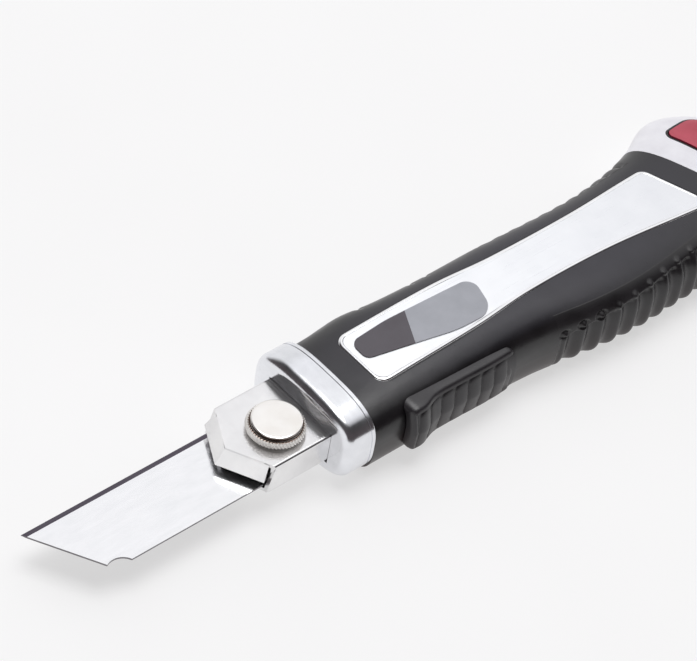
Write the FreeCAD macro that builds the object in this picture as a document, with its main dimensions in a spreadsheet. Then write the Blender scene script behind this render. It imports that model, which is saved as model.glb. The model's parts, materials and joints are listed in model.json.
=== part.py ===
import FreeCAD, Part
import math
import os
import re

from FreeCAD import Placement, Rotation, Vector

# Hobby craft knife with an 18 mm blade. Millimetres, +Z up, floor at z = 0.
# +X points from the blade tip to the tail, the thumb slider is on the -Y side and the cutting edge on
# the +Y side. The origin is under the middle of the knife. A station is a distance behind the front
# face of the nose collar, so a point's x is nose_x plus its station.

os.makedirs("parts", exist_ok=True)
doc = FreeCAD.newDocument("craft_knife")

DIMS = {
    # overall layout
    "nose_x": -40.2,
    "tail_station": 147.2,
    "parting_z": 10.0,
    "crown_z": 20.1,
    "crown_station": 65.0,
    "crown_radius": 833.0,
    # blade
    "blade_width": 18.0,
    "blade_thick": 0.5,
    "blade_length": 100.0,
    "blade_reach": 66.8,
    "blade_top_z": 8.5,
    "blade_slant": 10.55,
    "bevel_width": 1.2,
    "blade_hole_radius": 1.8,
    "blade_hole_inset": 6.0,
    # folded sheet carrier
    "carrier_half": 10.18,
    "carrier_top_z": 14.05,
    "carrier_low_z": 5.4,
    "sheet": 0.9,
    "carrier_shoulder": 15.3,
    "carrier_apex": 20.7,
    "carrier_tail": 13.0,
    "bed_front": 12.5,
    "bed_side_gap": 0.75,
    "bed_drop": 0.1,
    # clamp knob
    "knob_station": -8.7,
    "knob_side": -2.0,
    "knob_top_z": 17.4,
    "knob_disc_radius": 5.5,
    "knob_ring_radius": 6.6,
    "knob_tall": 2.7,
    "nut_thick": 1.2,
    "nut_half": 4.0,
    "plate_low_z": 8.75,
    "plate_thick": 0.9,
    "plate_half_length": 4.5,
    "plate_half_width": 8.6,
    "boss_wall": 1.2,
    "boss_tall": 0.95,
    "screw_low_z": 9.75,
    "screw_radius": 2.0,
    "running_gap": 0.05,
    # collar
    "collar_length": 8.0,
    "collar_half": 15.8,
    "collar_top_z": 20.0,
    "collar_low_z": 1.2,
    "collar_round": 2.3,
    # thumb slider and carriage
    "slide_back": 8.0,
    "slide_out": 7.0,
    "stem_station": 29.0,
    "stem_length": 8.0,
    "stem_low_z": 9.2,
    "stem_high_z": 11.6,
    "grip_front": 16.6,
    "grip_rear": 48.2,
    # rail
    "rail_front": 13.4,
    "rail_rear": 50.0,
    "rail_half": 10.3,
    "rail_low_z": 6.6,
    "rail_high_z": 12.4,
    # magazine
    "tray_front": 34.0,
    "tray_rear": 138.0,
    "tray_half": 10.1,
    "tray_low_z": 2.6,
    "tray_high_z": 6.2,
    "cap_station": 120.8,
    "cap_slope": 0.39,
    "button_travel": 1.2,
    # fits
    "gap": 0.3,
    "cap_gap": 0.12,
    "seat_gap": 0.05,
}

sheet = doc.addObject("Spreadsheet::Sheet", "dims")
for row, (alias, number) in enumerate(DIMS.items(), start=1):
    sheet.set(f"A{row}", alias)
    sheet.set(f"B{row}", str(number))
    sheet.setAlias(f"B{row}", alias)
doc.recompute()


def dim(alias):
    """Value of one driving dimension, read back from the sheet."""
    return float(sheet.get(alias))


def bound(formula):
    """Expression text in which every alias points at the sheet."""
    return re.sub(r"[a-z][a-z_]*", lambda word: "dims." + word.group(), formula)


def at(station):
    """The x coordinate of a station."""
    return dim("nose_x") + station


# ------------------------------------------------------------------ helpers for bound primitives

def box(name, corner, size):
    """Part::Box whose low corner and size are formulas over the sheet."""
    solid = doc.addObject("Part::Box", name)
    for axis, formula in zip("xyz", corner):
        solid.setExpression(f"Placement.Base.{axis}", bound(formula))
    for edge, formula in zip(("Length", "Width", "Height"), size):
        solid.setExpression(edge, bound(formula))
    return solid


def cylinder(name, centre, radius, height):
    """Upright Part::Cylinder whose base centre, radius and height are formulas over the sheet."""
    solid = doc.addObject("Part::Cylinder", name)
    for axis, formula in zip("xyz", centre):
        solid.setExpression(f"Placement.Base.{axis}", bound(formula))
    solid.setExpression("Radius", bound(radius))
    solid.setExpression("Height", bound(height))
    return solid


def fuse(name, *solids):
    joined = doc.addObject("Part::MultiFuse", name)
    joined.Shapes = list(solids)
    return joined


def cut(name, base, *tools):
    """Part::Cut of one or more tools from a base."""
    result = doc.addObject("Part::Cut", name)
    result.Base = base
    result.Tool = tools[0] if len(tools) == 1 else fuse(name + "_tools", *tools)
    return result


def feature(name, shape):
    """Free-form solid: a Part::Feature whose sizes were read from the sheet."""
    solid = doc.addObject("Part::Feature", name)
    solid.Shape = shape
    return solid


# ------------------------------------------------------------------ helpers for PartDesign bodies

def new_body(name):
    return doc.addObject("PartDesign::Body", name)


def plane_of(body, role):
    return next(item for item in body.Origin.OriginFeatures if item.Role == role)


def sketch_on(body, role, name, geometry):
    """Sketch on one of the body's own origin planes, with the given closed geometry."""
    sketch = body.newObject("Sketcher::SketchObject", name)
    sketch.AttachmentSupport = [(plane_of(body, role), "")]
    sketch.MapMode = "FlatFace"
    sketch.addGeometry(geometry, False)
    doc.recompute()
    return sketch


def lift(sketch, formula):
    """Moves a sketch along its plane's normal by a formula over the sheet."""
    sketch.setExpression("AttachmentOffset.Base.z", bound(formula))


def polygon(points):
    """Closed loop of line segments through (u, v) points."""
    corners = [Vector(u, v, 0) for u, v in points]
    return [Part.LineSegment(a, b) for a, b in zip(corners, corners[1:] + corners[:1])]


def rounded_polygon(corners):
    """Closed loop through (u, v, radius) corners, each rounded by a tangent arc of its radius."""
    count = len(corners)
    arcs = []
    for index, (u, v, radius) in enumerate(corners):
        here = Vector(u, v, 0)
        before = Vector(*corners[index - 1][:2], 0) - here
        after = Vector(*corners[(index + 1) % count][:2], 0) - here
        before.normalize()
        after.normalize()
        half = before.getAngle(after) / 2
        reach = radius / math.tan(half)
        middle = before + after
        middle.normalize()
        centre = here + middle * (radius / math.sin(half))
        start = here + before * reach
        end = here + after * reach
        arcs.append((start, centre - middle * radius, end))
    loop = []
    for index, (start, through, end) in enumerate(arcs):
        loop.append(Part.Arc(start, through, end))
        loop.append(Part.LineSegment(end, arcs[(index + 1) % count][0]))
    return loop


def circle(u, v, radius):
    return [Part.Circle(Vector(u, v, 0), Vector(0, 0, 1), radius)]


def pad(body, sketch, length, midplane=False, reverse=False):
    solid = body.newObject("PartDesign::Pad", sketch.Name + "_pad")
    solid.Profile = sketch
    solid.setExpression("Length", bound(length))
    solid.Midplane = midplane
    solid.Reversed = reverse
    sketch.Visibility = False
    doc.recompute()
    return solid


def pocket(body, sketch, midplane=True, reverse=False):
    """Cut through everything, checked to remove material."""
    before = body.Shape.Volume
    hole = body.newObject("PartDesign::Pocket", sketch.Name + "_pocket")
    hole.Profile = sketch
    hole.Type = 1
    hole.Midplane = midplane
    hole.Reversed = reverse
    doc.recompute()
    if body.Shape.Volume >= before - 1e-6:
        raise RuntimeError(f"{sketch.Name} removes nothing")
    return hole


def revolve(body, sketch):
    """Full turn about the vertical axis of the sketch."""
    solid = body.newObject("PartDesign::Revolution", sketch.Name + "_turn")
    solid.Profile = sketch
    solid.ReferenceAxis = (sketch, ["V_Axis"])
    solid.Angle = 360
    doc.recompute()
    return solid


parts = {}


def keep(node, solid):
    """Gives a finished sub-part its label, which names its file."""
    solid.Label = node
    parts[node] = solid


# ------------------------------------------------------------------ handle outline

# Half widths of the handle at its widest height, as (station, half width).
NEAR_SIDE = [(0, 15.7), (30, 15.7), (46, 15.8), (52, 16.0), (58, 16.5), (64, 17.4), (71, 18.6), (79, 19.5),
             (88, 19.8), (98, 19.4), (107, 19.1), (113, 19.5), (118, 20.3), (126, 22.45)]
FAR_SIDE = [(0, 14.9), (12, 14.9), (23, 15.6), (29, 14.8), (37, 14.1), (46, 13.8), (62, 13.8), (80, 13.3),
            (90, 13.4), (98, 14.2), (106, 15.6), (112, 17.1), (118, 19.4), (126, 23.2)]
SECTION_POINTS = 36
UPPER_POWER = 3.0
LOWER_POWER = 3.4
UNDER_FLOOR = 0.4


def smooth_through(table, station):
    """Smooth curve through a table of (station, value) pairs."""
    last = len(table) - 1
    index = max(i for i in range(last) if table[i][0] <= max(station, table[0][0]))
    left, right = table[index], table[index + 1]
    span = right[0] - left[0]

    def slope(i):
        low, high = table[max(i - 1, 0)], table[min(i + 1, last)]
        return (high[1] - low[1]) / (high[0] - low[0])

    t = min(max((station - left[0]) / span, 0), 1)
    rise = (2 * t**3 - 3 * t**2 + 1) * left[1] + (3 * t**2 - 2 * t**3) * right[1]
    return rise + span * ((t**3 - 2 * t**2 + t) * slope(index) + (t**3 - t**2) * slope(index + 1))


def crown(station):
    """Height of the arched top of the handle."""
    return dim("crown_z") - (station - dim("crown_station")) ** 2 / (2 * dim("crown_radius"))


def section(station, near, far, top, bottom, middle):
    """Closed wire across the handle: a rounded box, wider at the middle height."""
    points = []
    for step in range(SECTION_POINTS):
        angle = 2 * math.pi * step / SECTION_POINTS
        across, up = math.cos(angle), math.sin(angle)
        power = 2 / (UPPER_POWER if up >= 0 else LOWER_POWER)
        half = far if across > 0 else near
        tall = top - middle if up >= 0 else middle - bottom
        y = math.copysign(abs(across) ** power * half, across)
        z = middle + math.copysign(abs(up) ** power * tall, up)
        points.append(Vector(at(station), y, z))
    curve = Part.BSplineCurve()
    curve.interpolate(points, PeriodicFlag=True)
    return Part.Wire([curve.toShape()])


def handle_section(station, inset=0.0):
    """Section of the black handle, pulled in all round by an inset."""
    return section(
        station,
        smooth_through(NEAR_SIDE, station) - inset,
        smooth_through(FAR_SIDE, station) - inset,
        crown(station) - inset,
        inset - UNDER_FLOOR,
        dim("parting_z"),
    )


def handle_loft(stations, inset=0.0):
    return Part.makeLoft([handle_section(s, inset) for s in stations], True)


# Limits that lie clear of the object on every side, for tools that cut or keep a whole region.
AHEAD = -5
BEHIND = 200
BESIDE = 40
BELOW = -5
ABOVE = 60


def slab(low_station, high_station, low_y, high_y, low_z, high_z):
    """Box between two stations."""
    size = (high_station - low_station, high_y - low_y, high_z - low_z)
    return Part.makeBox(*size, Vector(at(low_station), low_y, low_z))


def behind_cap_line(offset):
    """Everything behind the slanted line where the tail cap meets the handle."""
    slope = dim("cap_slope")
    start = dim("cap_station") + offset
    reach = 60.0
    corners = [
        Vector(at(start + slope * reach), -reach, -20),
        Vector(at(start - slope * reach), reach, -20),
        Vector(at(start + 3 * reach), reach, -20),
        Vector(at(start + 3 * reach), -reach, -20),
    ]
    return Part.Face(Part.makePolygon(corners + corners[:1])).extrude(Vector(0, 0, 60))


HANDLE_STATIONS = [3.4, 8, 13, 18, 23, 29, 37, 46, 52, 58, 64, 71, 79, 88, 98, 106, 112, 118, 124, 130]
GRIP_SKIN = 2.0
BELLY = (61.0, 116.5)
FINGERS = (61.5, 110.0)
FRONT_FINGERS = (26.0, 51.5)
SCALLOP_PITCH = 4.7
SCALLOP_DEPTH = 0.5
SCALLOP_RADIUS = 2.2
SCALLOP_SPREAD = 60
SCALLOP_FADE = 0.12
FINGER_PITCH = 4.66
FINGER_FIRST = 65.9
FINGER_SCALLOPS = [FINGER_FIRST + FINGER_PITCH * index for index in range(10)]
FRONT_FIRST = 27.7
FRONT_SCALLOPS = [FRONT_FIRST + SCALLOP_PITCH * index for index in range(5)]


def scallop(station):
    """Bent round bar along the far side of the handle that cuts one shallow scallop, fading at its ends."""
    half = smooth_through(FAR_SIDE, station)
    middle = dim("parting_z")
    spine = []
    for degrees in range(-SCALLOP_SPREAD, SCALLOP_SPREAD + 1, 10):
        fade = max(0, abs(degrees) - SCALLOP_SPREAD / 2) / 10
        away = SCALLOP_RADIUS - SCALLOP_DEPTH + SCALLOP_FADE * fade**2
        across, up = math.cos(math.radians(degrees)), math.sin(math.radians(degrees))
        power = 2 / (UPPER_POWER if up >= 0 else LOWER_POWER)
        tall = (crown(station) - middle if up >= 0 else middle + UNDER_FLOOR) + away
        z = middle + math.copysign(abs(up) ** power * tall, up)
        spine.append(Vector(at(station), across ** power * (half + away), z))
    curve = Part.BSplineCurve()
    curve.interpolate(spine)
    start = Part.makeCircle(SCALLOP_RADIUS, spine[0], curve.tangent(curve.FirstParameter)[0])
    return Part.Wire([curve.toShape()]).makePipeShell([Part.Wire([start])], True, True)


above_floor = slab(AHEAD, BEHIND, -BESIDE, BESIDE, 0, ABOVE)
handle_outer = handle_loft(HANDLE_STATIONS).common(above_floor).cut(behind_cap_line(0))
handle_core = handle_loft(HANDLE_STATIONS, GRIP_SKIN)

# The two rubber grips are skins over the handle, split off from its surface.
skin = handle_outer.cut(handle_core)
belly_zone = slab(BELLY[0], BELLY[1], -40, -9.5, 1.2, 17.9)
finger_zone = slab(FINGERS[0], FINGERS[1], 8.5, 40, 1.2, 17.4)
belly_skin = skin.common(belly_zone)
finger_skin = skin.common(finger_zone)
black_shells = handle_outer.cut(belly_skin).cut(finger_skin)

# Shallow finger scallops in the shells, ahead of the rubber ones.
for station in FRONT_SCALLOPS:
    black_shells = black_shells.cut(scallop(station))

# Front spigot: the shells narrow where they sit inside the nose collar.
SPIGOT_INSET = 2.6
spigot_zone = slab(AHEAD, dim("collar_length"), -BESIDE, BESIDE, BELOW, ABOVE)
spigot = handle_loft([3.4, 8, 13], SPIGOT_INSET).common(spigot_zone)
black_shells = black_shells.cut(spigot_zone).fuse(spigot)

# Hollows inside the shells.
STEM_PLAY = 0.5
slot_front = dim("stem_station") - dim("slide_out") - STEM_PLAY
slot_rear = dim("stem_station") + dim("stem_length") + dim("slide_back") + STEM_PLAY
SLOT_LOW_Z = 8.9
SLOT_HIGH_Z = 11.9
seat = dim("seat_gap")
carrier_pocket = slab(0, dim("carrier_tail") + 0.2, -dim("carrier_half") - seat, dim("carrier_half") + seat,
                      dim("carrier_low_z") - seat, dim("carrier_top_z") + seat)
rail_pocket = slab(dim("carrier_tail"), dim("rail_rear") + 0.2, -dim("rail_half") - seat,
                   dim("rail_half") + seat, dim("rail_low_z") - seat, dim("rail_high_z") + seat)
slider_slot = slab(slot_front, slot_rear, -30, -9, SLOT_LOW_Z, SLOT_HIGH_Z)
TRAY_PLAY = 0.5
gap = dim("gap")
tray_pocket = slab(dim("tray_front") - TRAY_PLAY, BEHIND, -dim("tray_half") - gap, dim("tray_half") + gap,
                   dim("tray_low_z") - gap, dim("tray_high_z") + gap)
LIGHTENING = (53, 99)
LIGHTENING_HALF = 9
LIGHTENING_HIGH_Z = 16.6
lightening = slab(*LIGHTENING, -LIGHTENING_HALF, LIGHTENING_HALF, dim("tray_high_z"), LIGHTENING_HIGH_Z)
PLUG_FRONT = 102.0
PLUG_HALF = 9.6
PLUG_LOW_Z = 6.9
PLUG_HIGH_Z = 15.4
PLUG_ROOM = 0.3
plug_pocket = slab(PLUG_FRONT - 1, BEHIND, -PLUG_HALF - PLUG_ROOM, PLUG_HALF + PLUG_ROOM,
                   dim("tray_high_z"), PLUG_HIGH_Z + PLUG_ROOM)
for hollow in (carrier_pocket, rail_pocket, slider_slot, tray_pocket, lightening, plug_pocket):
    black_shells = black_shells.cut(hollow)

# ------------------------------------------------------------------ screws that join the shells

# (station, y, height of the screw head's face)
SCREWS = [(16, -12.4, 3.2), (16, 12.0, 3.2), (56, -12.7, 3.2), (84, -12.5, 3.4), (112, 12.9, 3.0)]
SCREW_HEAD = 1.6
SCREW_SHANK = 0.9
HEAD_TALL = 1.5
CROSS_LONG = 2.2
CROSS_WIDE = 0.5
CROSS_DEEP = 0.9
BORE_PLAY = 0.15
SHANK_PLAY = 0.02
SCREW_TALL = 10.0


def shell_screw(station, y, head_z):
    """Pan screw driven up from below, with a cross recess in its head."""
    foot = Vector(at(station), y, head_z)
    head = Part.makeCylinder(SCREW_HEAD, HEAD_TALL, foot)
    shank = Part.makeCylinder(SCREW_SHANK, SCREW_TALL, foot)
    screw = head.fuse(shank)
    for turn in (0, 90):
        cross = Part.makeBox(CROSS_LONG, CROSS_WIDE, CROSS_DEEP, Vector(-CROSS_LONG / 2, -CROSS_WIDE / 2, 0))
        cross.rotate(Vector(0, 0, 0), Vector(0, 0, 1), turn)
        cross.translate(foot)
        screw = screw.cut(cross)
    return screw


def screw_clearance(station, y, head_z):
    """Counterbore from below and the hole for the shank."""
    foot = Vector(at(station), y, head_z)
    below = Vector(foot.x, y, -head_z)
    bore = Part.makeCylinder(SCREW_HEAD + BORE_PLAY, 2 * head_z + HEAD_TALL, below)
    hole = Part.makeCylinder(SCREW_SHANK + SHANK_PLAY, SCREW_TALL + dim("gap"), foot)
    return bore.fuse(hole)


keep("shell_screws", feature("shell_screws", Part.makeCompound([shell_screw(*spot) for spot in SCREWS])))

# ------------------------------------------------------------------ inlay plate, rim and badge

# Half width of the inlay plate along the handle, as (station, half width).
PLATE_SIDE = [(15.2, 7.9), (22, 7.9), (44, 7.6), (60, 6.5), (84, 6.6), (106, 8.1), (118, 8.9)]
PLATE_FRONT = 15.2
PLATE_REAR = 113.2
PLATE_REAR_SLOPE = 0.40
PLATE_CORNER = 3.0
PLATE_THICK = 1.0
PLATE_PLAY = 0.2
RIM_WIDTH = 0.7
RIM_PROUD = 0.12
STEP_WIDTH = 0.32
STEP_DEPTH = 0.45
RECESS_ABOVE = 6
BADGE_THICK = 0.22


def arch_slab(low_offset, high_offset):
    """Slab that follows the handle's arched top between two offsets from it."""
    def arc(offset):
        return [Vector(at(s), 0, crown(s) + offset) for s in (-10, dim("crown_station"), 150)]
    low, high = arc(low_offset), arc(high_offset)
    edges = [
        Part.Arc(*low).toShape(),
        Part.makeLine(low[2], high[2]),
        Part.Arc(*high).toShape(),
        Part.makeLine(high[0], low[0]),
    ]
    face = Part.Face(Part.Wire(Part.sortEdges(edges)[0]))
    face.translate(Vector(0, -40, 0))
    return face.extrude(Vector(0, 80, 0))


def plate_half(station):
    """Half width of the inlay's opening at a station."""
    return smooth_through(PLATE_SIDE, station)


def plate_outline(inset):
    """Plan outline of the inlay: curved sides, square front, slanted rear, rounded corners."""
    front = PLATE_FRONT + inset
    sides = {}
    for sign in (-1, 1):
        rear = PLATE_REAR - inset - PLATE_REAR_SLOPE * sign * (plate_half(PLATE_REAR) - inset)
        count = 9
        stations = [front + (rear - front) * i / (count - 1) for i in range(count)]
        points = [Vector(at(s), sign * (plate_half(s) - inset), 0) for s in stations]
        curve = Part.BSplineCurve()
        curve.interpolate(points)
        sides[sign] = curve.toShape()
    near, far = sides[-1], sides[1]
    ends = [
        Part.makeLine(near.Vertexes[0].Point, far.Vertexes[0].Point),
        Part.makeLine(near.Vertexes[-1].Point, far.Vertexes[-1].Point),
    ]
    return Part.Face(Part.Wire(Part.sortEdges([near, far] + ends)[0]))


def rounded_prism(face, radius):
    """Tall prism over a plan face, with its upright edges rounded."""
    prism = face.extrude(Vector(0, 0, ABOVE))
    upright = [e for e in prism.Edges if abs(e.tangentAt(e.FirstParameter).z) > 0.99]
    return prism.makeFillet(radius, upright)


inlay_opening = rounded_prism(plate_outline(0), PLATE_CORNER)
plate_prism = rounded_prism(plate_outline(RIM_WIDTH + PLATE_PLAY), PLATE_CORNER - RIM_WIDTH)
rim_hole = rounded_prism(plate_outline(RIM_WIDTH), PLATE_CORNER - RIM_WIDTH)
keep("inlay_plate", feature("inlay_plate", plate_prism.common(arch_slab(-PLATE_THICK, 0.0))))
rim = inlay_opening.cut(rim_hole).common(arch_slab(-PLATE_THICK, RIM_PROUD))
keep("inlay_rim", feature("inlay_rim", rim))

# Badge: a blank drop shape in two tones, as (station, y, corner radius).
BADGE = [(17.5, 4.9, 2.4), (27.5, 5.3, 40.0), (52.1, 3.9, 2.8), (49.2, -6.4, 5.0), (39.0, -6.0, 30.0),
         (17.4, -0.7, 2.0)]
BADGE_SPLIT = [(10, 12), (36.7, 12), (24.6, -12), (10, -12)]


def plan_face(loop):
    """Face at the floor from a loop of sketch geometry given in stations."""
    face = Part.Face(Part.Wire(Part.sortEdges([piece.toShape() for piece in loop])[0]))
    face.translate(Vector(dim("nose_x"), 0, 0))
    return face


badge = plan_face(rounded_polygon(BADGE)).extrude(Vector(0, 0, ABOVE)).common(arch_slab(0, BADGE_THICK))
badge_divide = plan_face(polygon(BADGE_SPLIT)).extrude(Vector(0, 0, ABOVE))
keep("badge_front", feature("badge_front", badge.common(badge_divide)))
keep("badge_rear", feature("badge_rear", badge.cut(badge_divide)))

inlay_recess = inlay_opening.common(arch_slab(-PLATE_THICK, RECESS_ABOVE))
black_shells = black_shells.cut(inlay_recess)

# A narrow step round the recess leaves the rim standing free of the shell.
inlay_step = rounded_prism(plate_outline(-STEP_WIDTH), PLATE_CORNER + STEP_WIDTH)
black_shells = black_shells.cut(inlay_step.common(arch_slab(-STEP_DEPTH, RECESS_ABOVE)))
for spot in SCREWS:
    black_shells = black_shells.cut(screw_clearance(*spot))
high_half = slab(AHEAD, BEHIND, -BESIDE, BESIDE, dim("parting_z"), ABOVE)
keep("upper_shell", feature("upper_shell", black_shells.common(high_half)))
keep("lower_shell", feature("lower_shell", black_shells.cut(high_half)))

# ------------------------------------------------------------------ rubber grips

GROOVE_PITCH = 4.95
GROOVE_FIRST = 65.3
GROOVE_COUNT = 10
GROOVE_RADIUS = 1.5
GROOVE_DEPTH = 0.8


def grooves(grip, first, count, pitch):
    """Upright round grooves between the finger ribs on the slider's side of the handle."""
    for index in range(count):
        station = first + pitch * index
        y = -(smooth_through(NEAR_SIDE, station) + GROOVE_RADIUS - GROOVE_DEPTH)
        grip = grip.cut(Part.makeCylinder(GROOVE_RADIUS, ABOVE, Vector(at(station), y, BELOW)))
    return grip


belly = grooves(belly_skin, GROOVE_FIRST, GROOVE_COUNT, GROOVE_PITCH)
fingers = finger_skin.cut(tray_pocket)
for station in FINGER_SCALLOPS:
    fingers = fingers.cut(scallop(station))
keep("belly_grip", feature("belly_grip", belly))
keep("finger_grip", feature("finger_grip", fingers))

# ------------------------------------------------------------------ nose collar

COLLAR_GROOVE = (6.7, 6.95)
COLLAR_GROOVE_DEPTH = 0.15
COLLAR_REAR_ROUND = 0.3


def collar_block(inset):
    """Collar without its openings, pulled in all round by an inset."""
    half_width = dim("collar_half") - inset
    middle = (dim("collar_top_z") + dim("collar_low_z")) / 2
    top_z, low_z = dim("collar_top_z") - inset, dim("collar_low_z") + inset
    wire = section(0, half_width, half_width, top_z, low_z, middle)
    return Part.Face(wire).extrude(Vector(dim("collar_length"), 0, 0))


collar_solid = collar_block(0)
front_edge = [e for e in collar_solid.Edges if e.BoundBox.XMax < at(0.01)]
collar_solid = collar_solid.makeFillet(dim("collar_round"), front_edge)
rear_edge = [e for e in collar_solid.Edges if e.BoundBox.XMin > at(dim("collar_length") - 0.01)]
collar_solid = collar_solid.makeFillet(COLLAR_REAR_ROUND, rear_edge)
groove_band = slab(COLLAR_GROOVE[0], COLLAR_GROOVE[1], -BESIDE, BESIDE, BELOW, ABOVE)
collar_solid = collar_solid.cut(groove_band.cut(collar_block(COLLAR_GROOVE_DEPTH)))
spigot_room = handle_loft([3.3, 8, 13], SPIGOT_INSET - seat).common(spigot_zone)
mouth = slab(-1, 9, -dim("carrier_half") - seat, dim("carrier_half") + seat,
             dim("carrier_low_z") - seat, dim("carrier_top_z") + seat)
collar_solid = collar_solid.cut(spigot_room).cut(mouth)
keep("nose_collar", feature("nose_collar", collar_solid))

# ------------------------------------------------------------------ blade

blade_body = new_body("blade")
half_blade = dim("blade_width") / 2
thick = dim("blade_thick")
bevel = dim("bevel_width")
EDGE_HALF = 0.04
blade_profile = [
    (-half_blade, 0),
    (half_blade - bevel, 0),
    (half_blade, -thick / 2 + EDGE_HALF),
    (half_blade, -thick / 2 - EDGE_HALF),
    (half_blade - bevel, -thick),
    (-half_blade, -thick),
]
blade_sketch = sketch_on(blade_body, "YZ_Plane", "blade_section",
                         polygon([(y, dim("blade_top_z") + z) for y, z in blade_profile]))
lift(blade_sketch, "nose_x - blade_reach")
pad(blade_body, blade_sketch, "blade_length")
tip = at(-dim("blade_reach"))
slant_tool = [(tip, half_blade), (tip + dim("blade_slant"), -half_blade), (tip + dim("blade_slant"), -12),
              (tip - 5, -12), (tip - 5, 12), (tip, 12)]
pocket(blade_body, sketch_on(blade_body, "XY_Plane", "blade_front", polygon(slant_tool)))
NOTCH_STATION = -55.4
NOTCH_SIDE = -10.6
NOTCH_RADIUS = 3.7
pocket(blade_body, sketch_on(blade_body, "XY_Plane", "blade_notch",
                             circle(at(NOTCH_STATION), NOTCH_SIDE, NOTCH_RADIUS)))
hole_x = tip + dim("blade_length") - dim("blade_hole_inset")
pocket(blade_body, sketch_on(blade_body, "XY_Plane", "blade_hole",
                             circle(hole_x, 0, dim("blade_hole_radius"))))
keep("blade", blade_body)

# ------------------------------------------------------------------ folded carrier

carrier_body = new_body("blade_carrier")
half, wall = dim("carrier_half"), dim("sheet")
low_z, top_z = dim("carrier_low_z"), dim("carrier_top_z")
BEND = 1.6
EDGE_ROUND = 0.7
INNER_ROUND = 0.3
tube_outside = rounded_polygon([(-half, low_z, BEND), (half, low_z, BEND), (half, top_z, EDGE_ROUND),
                                (-half, top_z, EDGE_ROUND)])
carrier_sketch = sketch_on(carrier_body, "YZ_Plane", "carrier_tube", tube_outside)
lift(carrier_sketch, "nose_x - carrier_apex")
pad(carrier_body, carrier_sketch, "carrier_apex + carrier_tail")
inner_half = half - wall
inner_low, inner_top = low_z + wall, top_z - wall
tube_inside = rounded_polygon([(-inner_half, inner_low, BEND - wall), (inner_half, inner_low, BEND - wall),
                               (inner_half, inner_top, INNER_ROUND), (-inner_half, inner_top, INNER_ROUND)])
pocket(carrier_body, sketch_on(carrier_body, "YZ_Plane", "carrier_hollow", tube_inside))
shoulder, apex = at(-dim("carrier_shoulder")), at(-dim("carrier_apex"))
front_tool = [(shoulder, half + 3), (shoulder, half), (apex, 0), (shoulder, -half), (shoulder, -half - 3),
              (apex - 5, -half - 3), (apex - 5, half + 3)]
pocket(carrier_body, sketch_on(carrier_body, "XY_Plane", "carrier_point", polygon(front_tool)))
knob_hole_sketch = sketch_on(carrier_body, "XY_Plane", "knob_screw_hole",
                             circle(at(dim("knob_station")), dim("knob_side"), dim("screw_radius") + 0.3))
lift(knob_hole_sketch, "blade_top_z")
pocket(carrier_body, knob_hole_sketch, midplane=False, reverse=True)

# The two polished lips fold down from the V-shaped front edge, over the blade.
LIP_RUN = 1.0
LIP_DROP = 3.8
LIP_END_GAP = 2.6


def lip(side):
    """Sheet lip that slopes forward and down from one half of the V edge."""
    along = Vector(-(dim("carrier_apex") - dim("carrier_shoulder")), -side * half, 0)
    along.normalize()
    outward = Vector(-abs(along.y), side * abs(along.x), 0)
    top_outer = Vector(shoulder, side * half, top_z) + along * LIP_END_GAP
    top_inner = Vector(apex, 0, top_z)
    fall = outward * LIP_RUN - Vector(0, 0, LIP_DROP)
    thickness = fall.cross(along)
    thickness.normalize()
    if thickness.z > 0:
        thickness = thickness * -1
    foot_inner = top_inner + fall - along * (fall.y / along.y)
    corners = [top_outer, top_inner, foot_inner, top_outer + fall]
    face = Part.Face(Part.makePolygon(corners + corners[:1]))
    return face.extrude(thickness * wall)


# The front edges of the two side walls lean forward towards their feet.
WALL_LEAN = 1.75


def wall_toe(side):
    """Triangle of wall ahead of the shoulder, between the bottom bend and the top edge."""
    inner = min(side * half, side * (half - wall))
    foot_z = low_z + BEND
    corners = [Vector(shoulder, inner, top_z - EDGE_ROUND), Vector(shoulder - WALL_LEAN, inner, foot_z),
               Vector(shoulder, inner, foot_z)]
    return Part.Face(Part.makePolygon(corners + corners[:1])).extrude(Vector(0, wall, 0))


near_lip, far_lip = lip(-1), lip(1)
front_folds = near_lip.fuse(far_lip).fuse(wall_toe(-1)).fuse(wall_toe(1))
carrier = fuse("carrier_with_folds", carrier_body, feature("carrier_folds", front_folds))
keep("blade_carrier", carrier)

# ------------------------------------------------------------------ support under the blade

bed_half = "(carrier_half - sheet - bed_side_gap)"
bed = box("blade_bed",
          ("nose_x - bed_front", "-" + bed_half, "carrier_low_z + sheet"),
          ("bed_front + carrier_tail", "2 * " + bed_half,
           "blade_top_z - blade_thick - bed_drop - carrier_low_z - sheet"))
keep("blade_bed", bed)

# ------------------------------------------------------------------ clamp: knob, screw, nut, plate

KNOB_DISC_TALL = 1.0
knob_body = new_body("clamp_knob")
knob_low = dim("knob_top_z") - dim("knob_tall")
knob_top = dim("knob_top_z")
disc, ring, bore = dim("knob_disc_radius"), dim("knob_ring_radius"), dim("screw_radius")
ring_top = knob_top - KNOB_DISC_TALL - 0.25
knob_profile = [(0, knob_low), (ring - 0.3, knob_low), (ring, knob_low + 0.3), (ring, ring_top - 0.25),
                (ring - 0.25, ring_top), (disc - 0.5, ring_top), (disc - 0.5, ring_top + 0.25),
                (disc, ring_top + 0.4), (disc, knob_top - 0.25), (disc - 0.25, knob_top), (0, knob_top)]
knob_sketch = sketch_on(knob_body, "XZ_Plane", "knob_half", polygon(knob_profile))
revolve(knob_body, knob_sketch)
for axis, formula in zip("xy", ("nose_x + knob_station", "knob_side")):
    knob_body.setExpression(f"Placement.Base.{axis}", bound(formula))
keep("clamp_knob", knob_body)

knob_x, knob_y = "nose_x + knob_station", "knob_side"
screw = cylinder("clamp_screw", (knob_x, knob_y, "screw_low_z"), "screw_radius",
                 "knob_top_z - knob_tall - screw_low_z")
keep("clamp_screw", screw)

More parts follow.
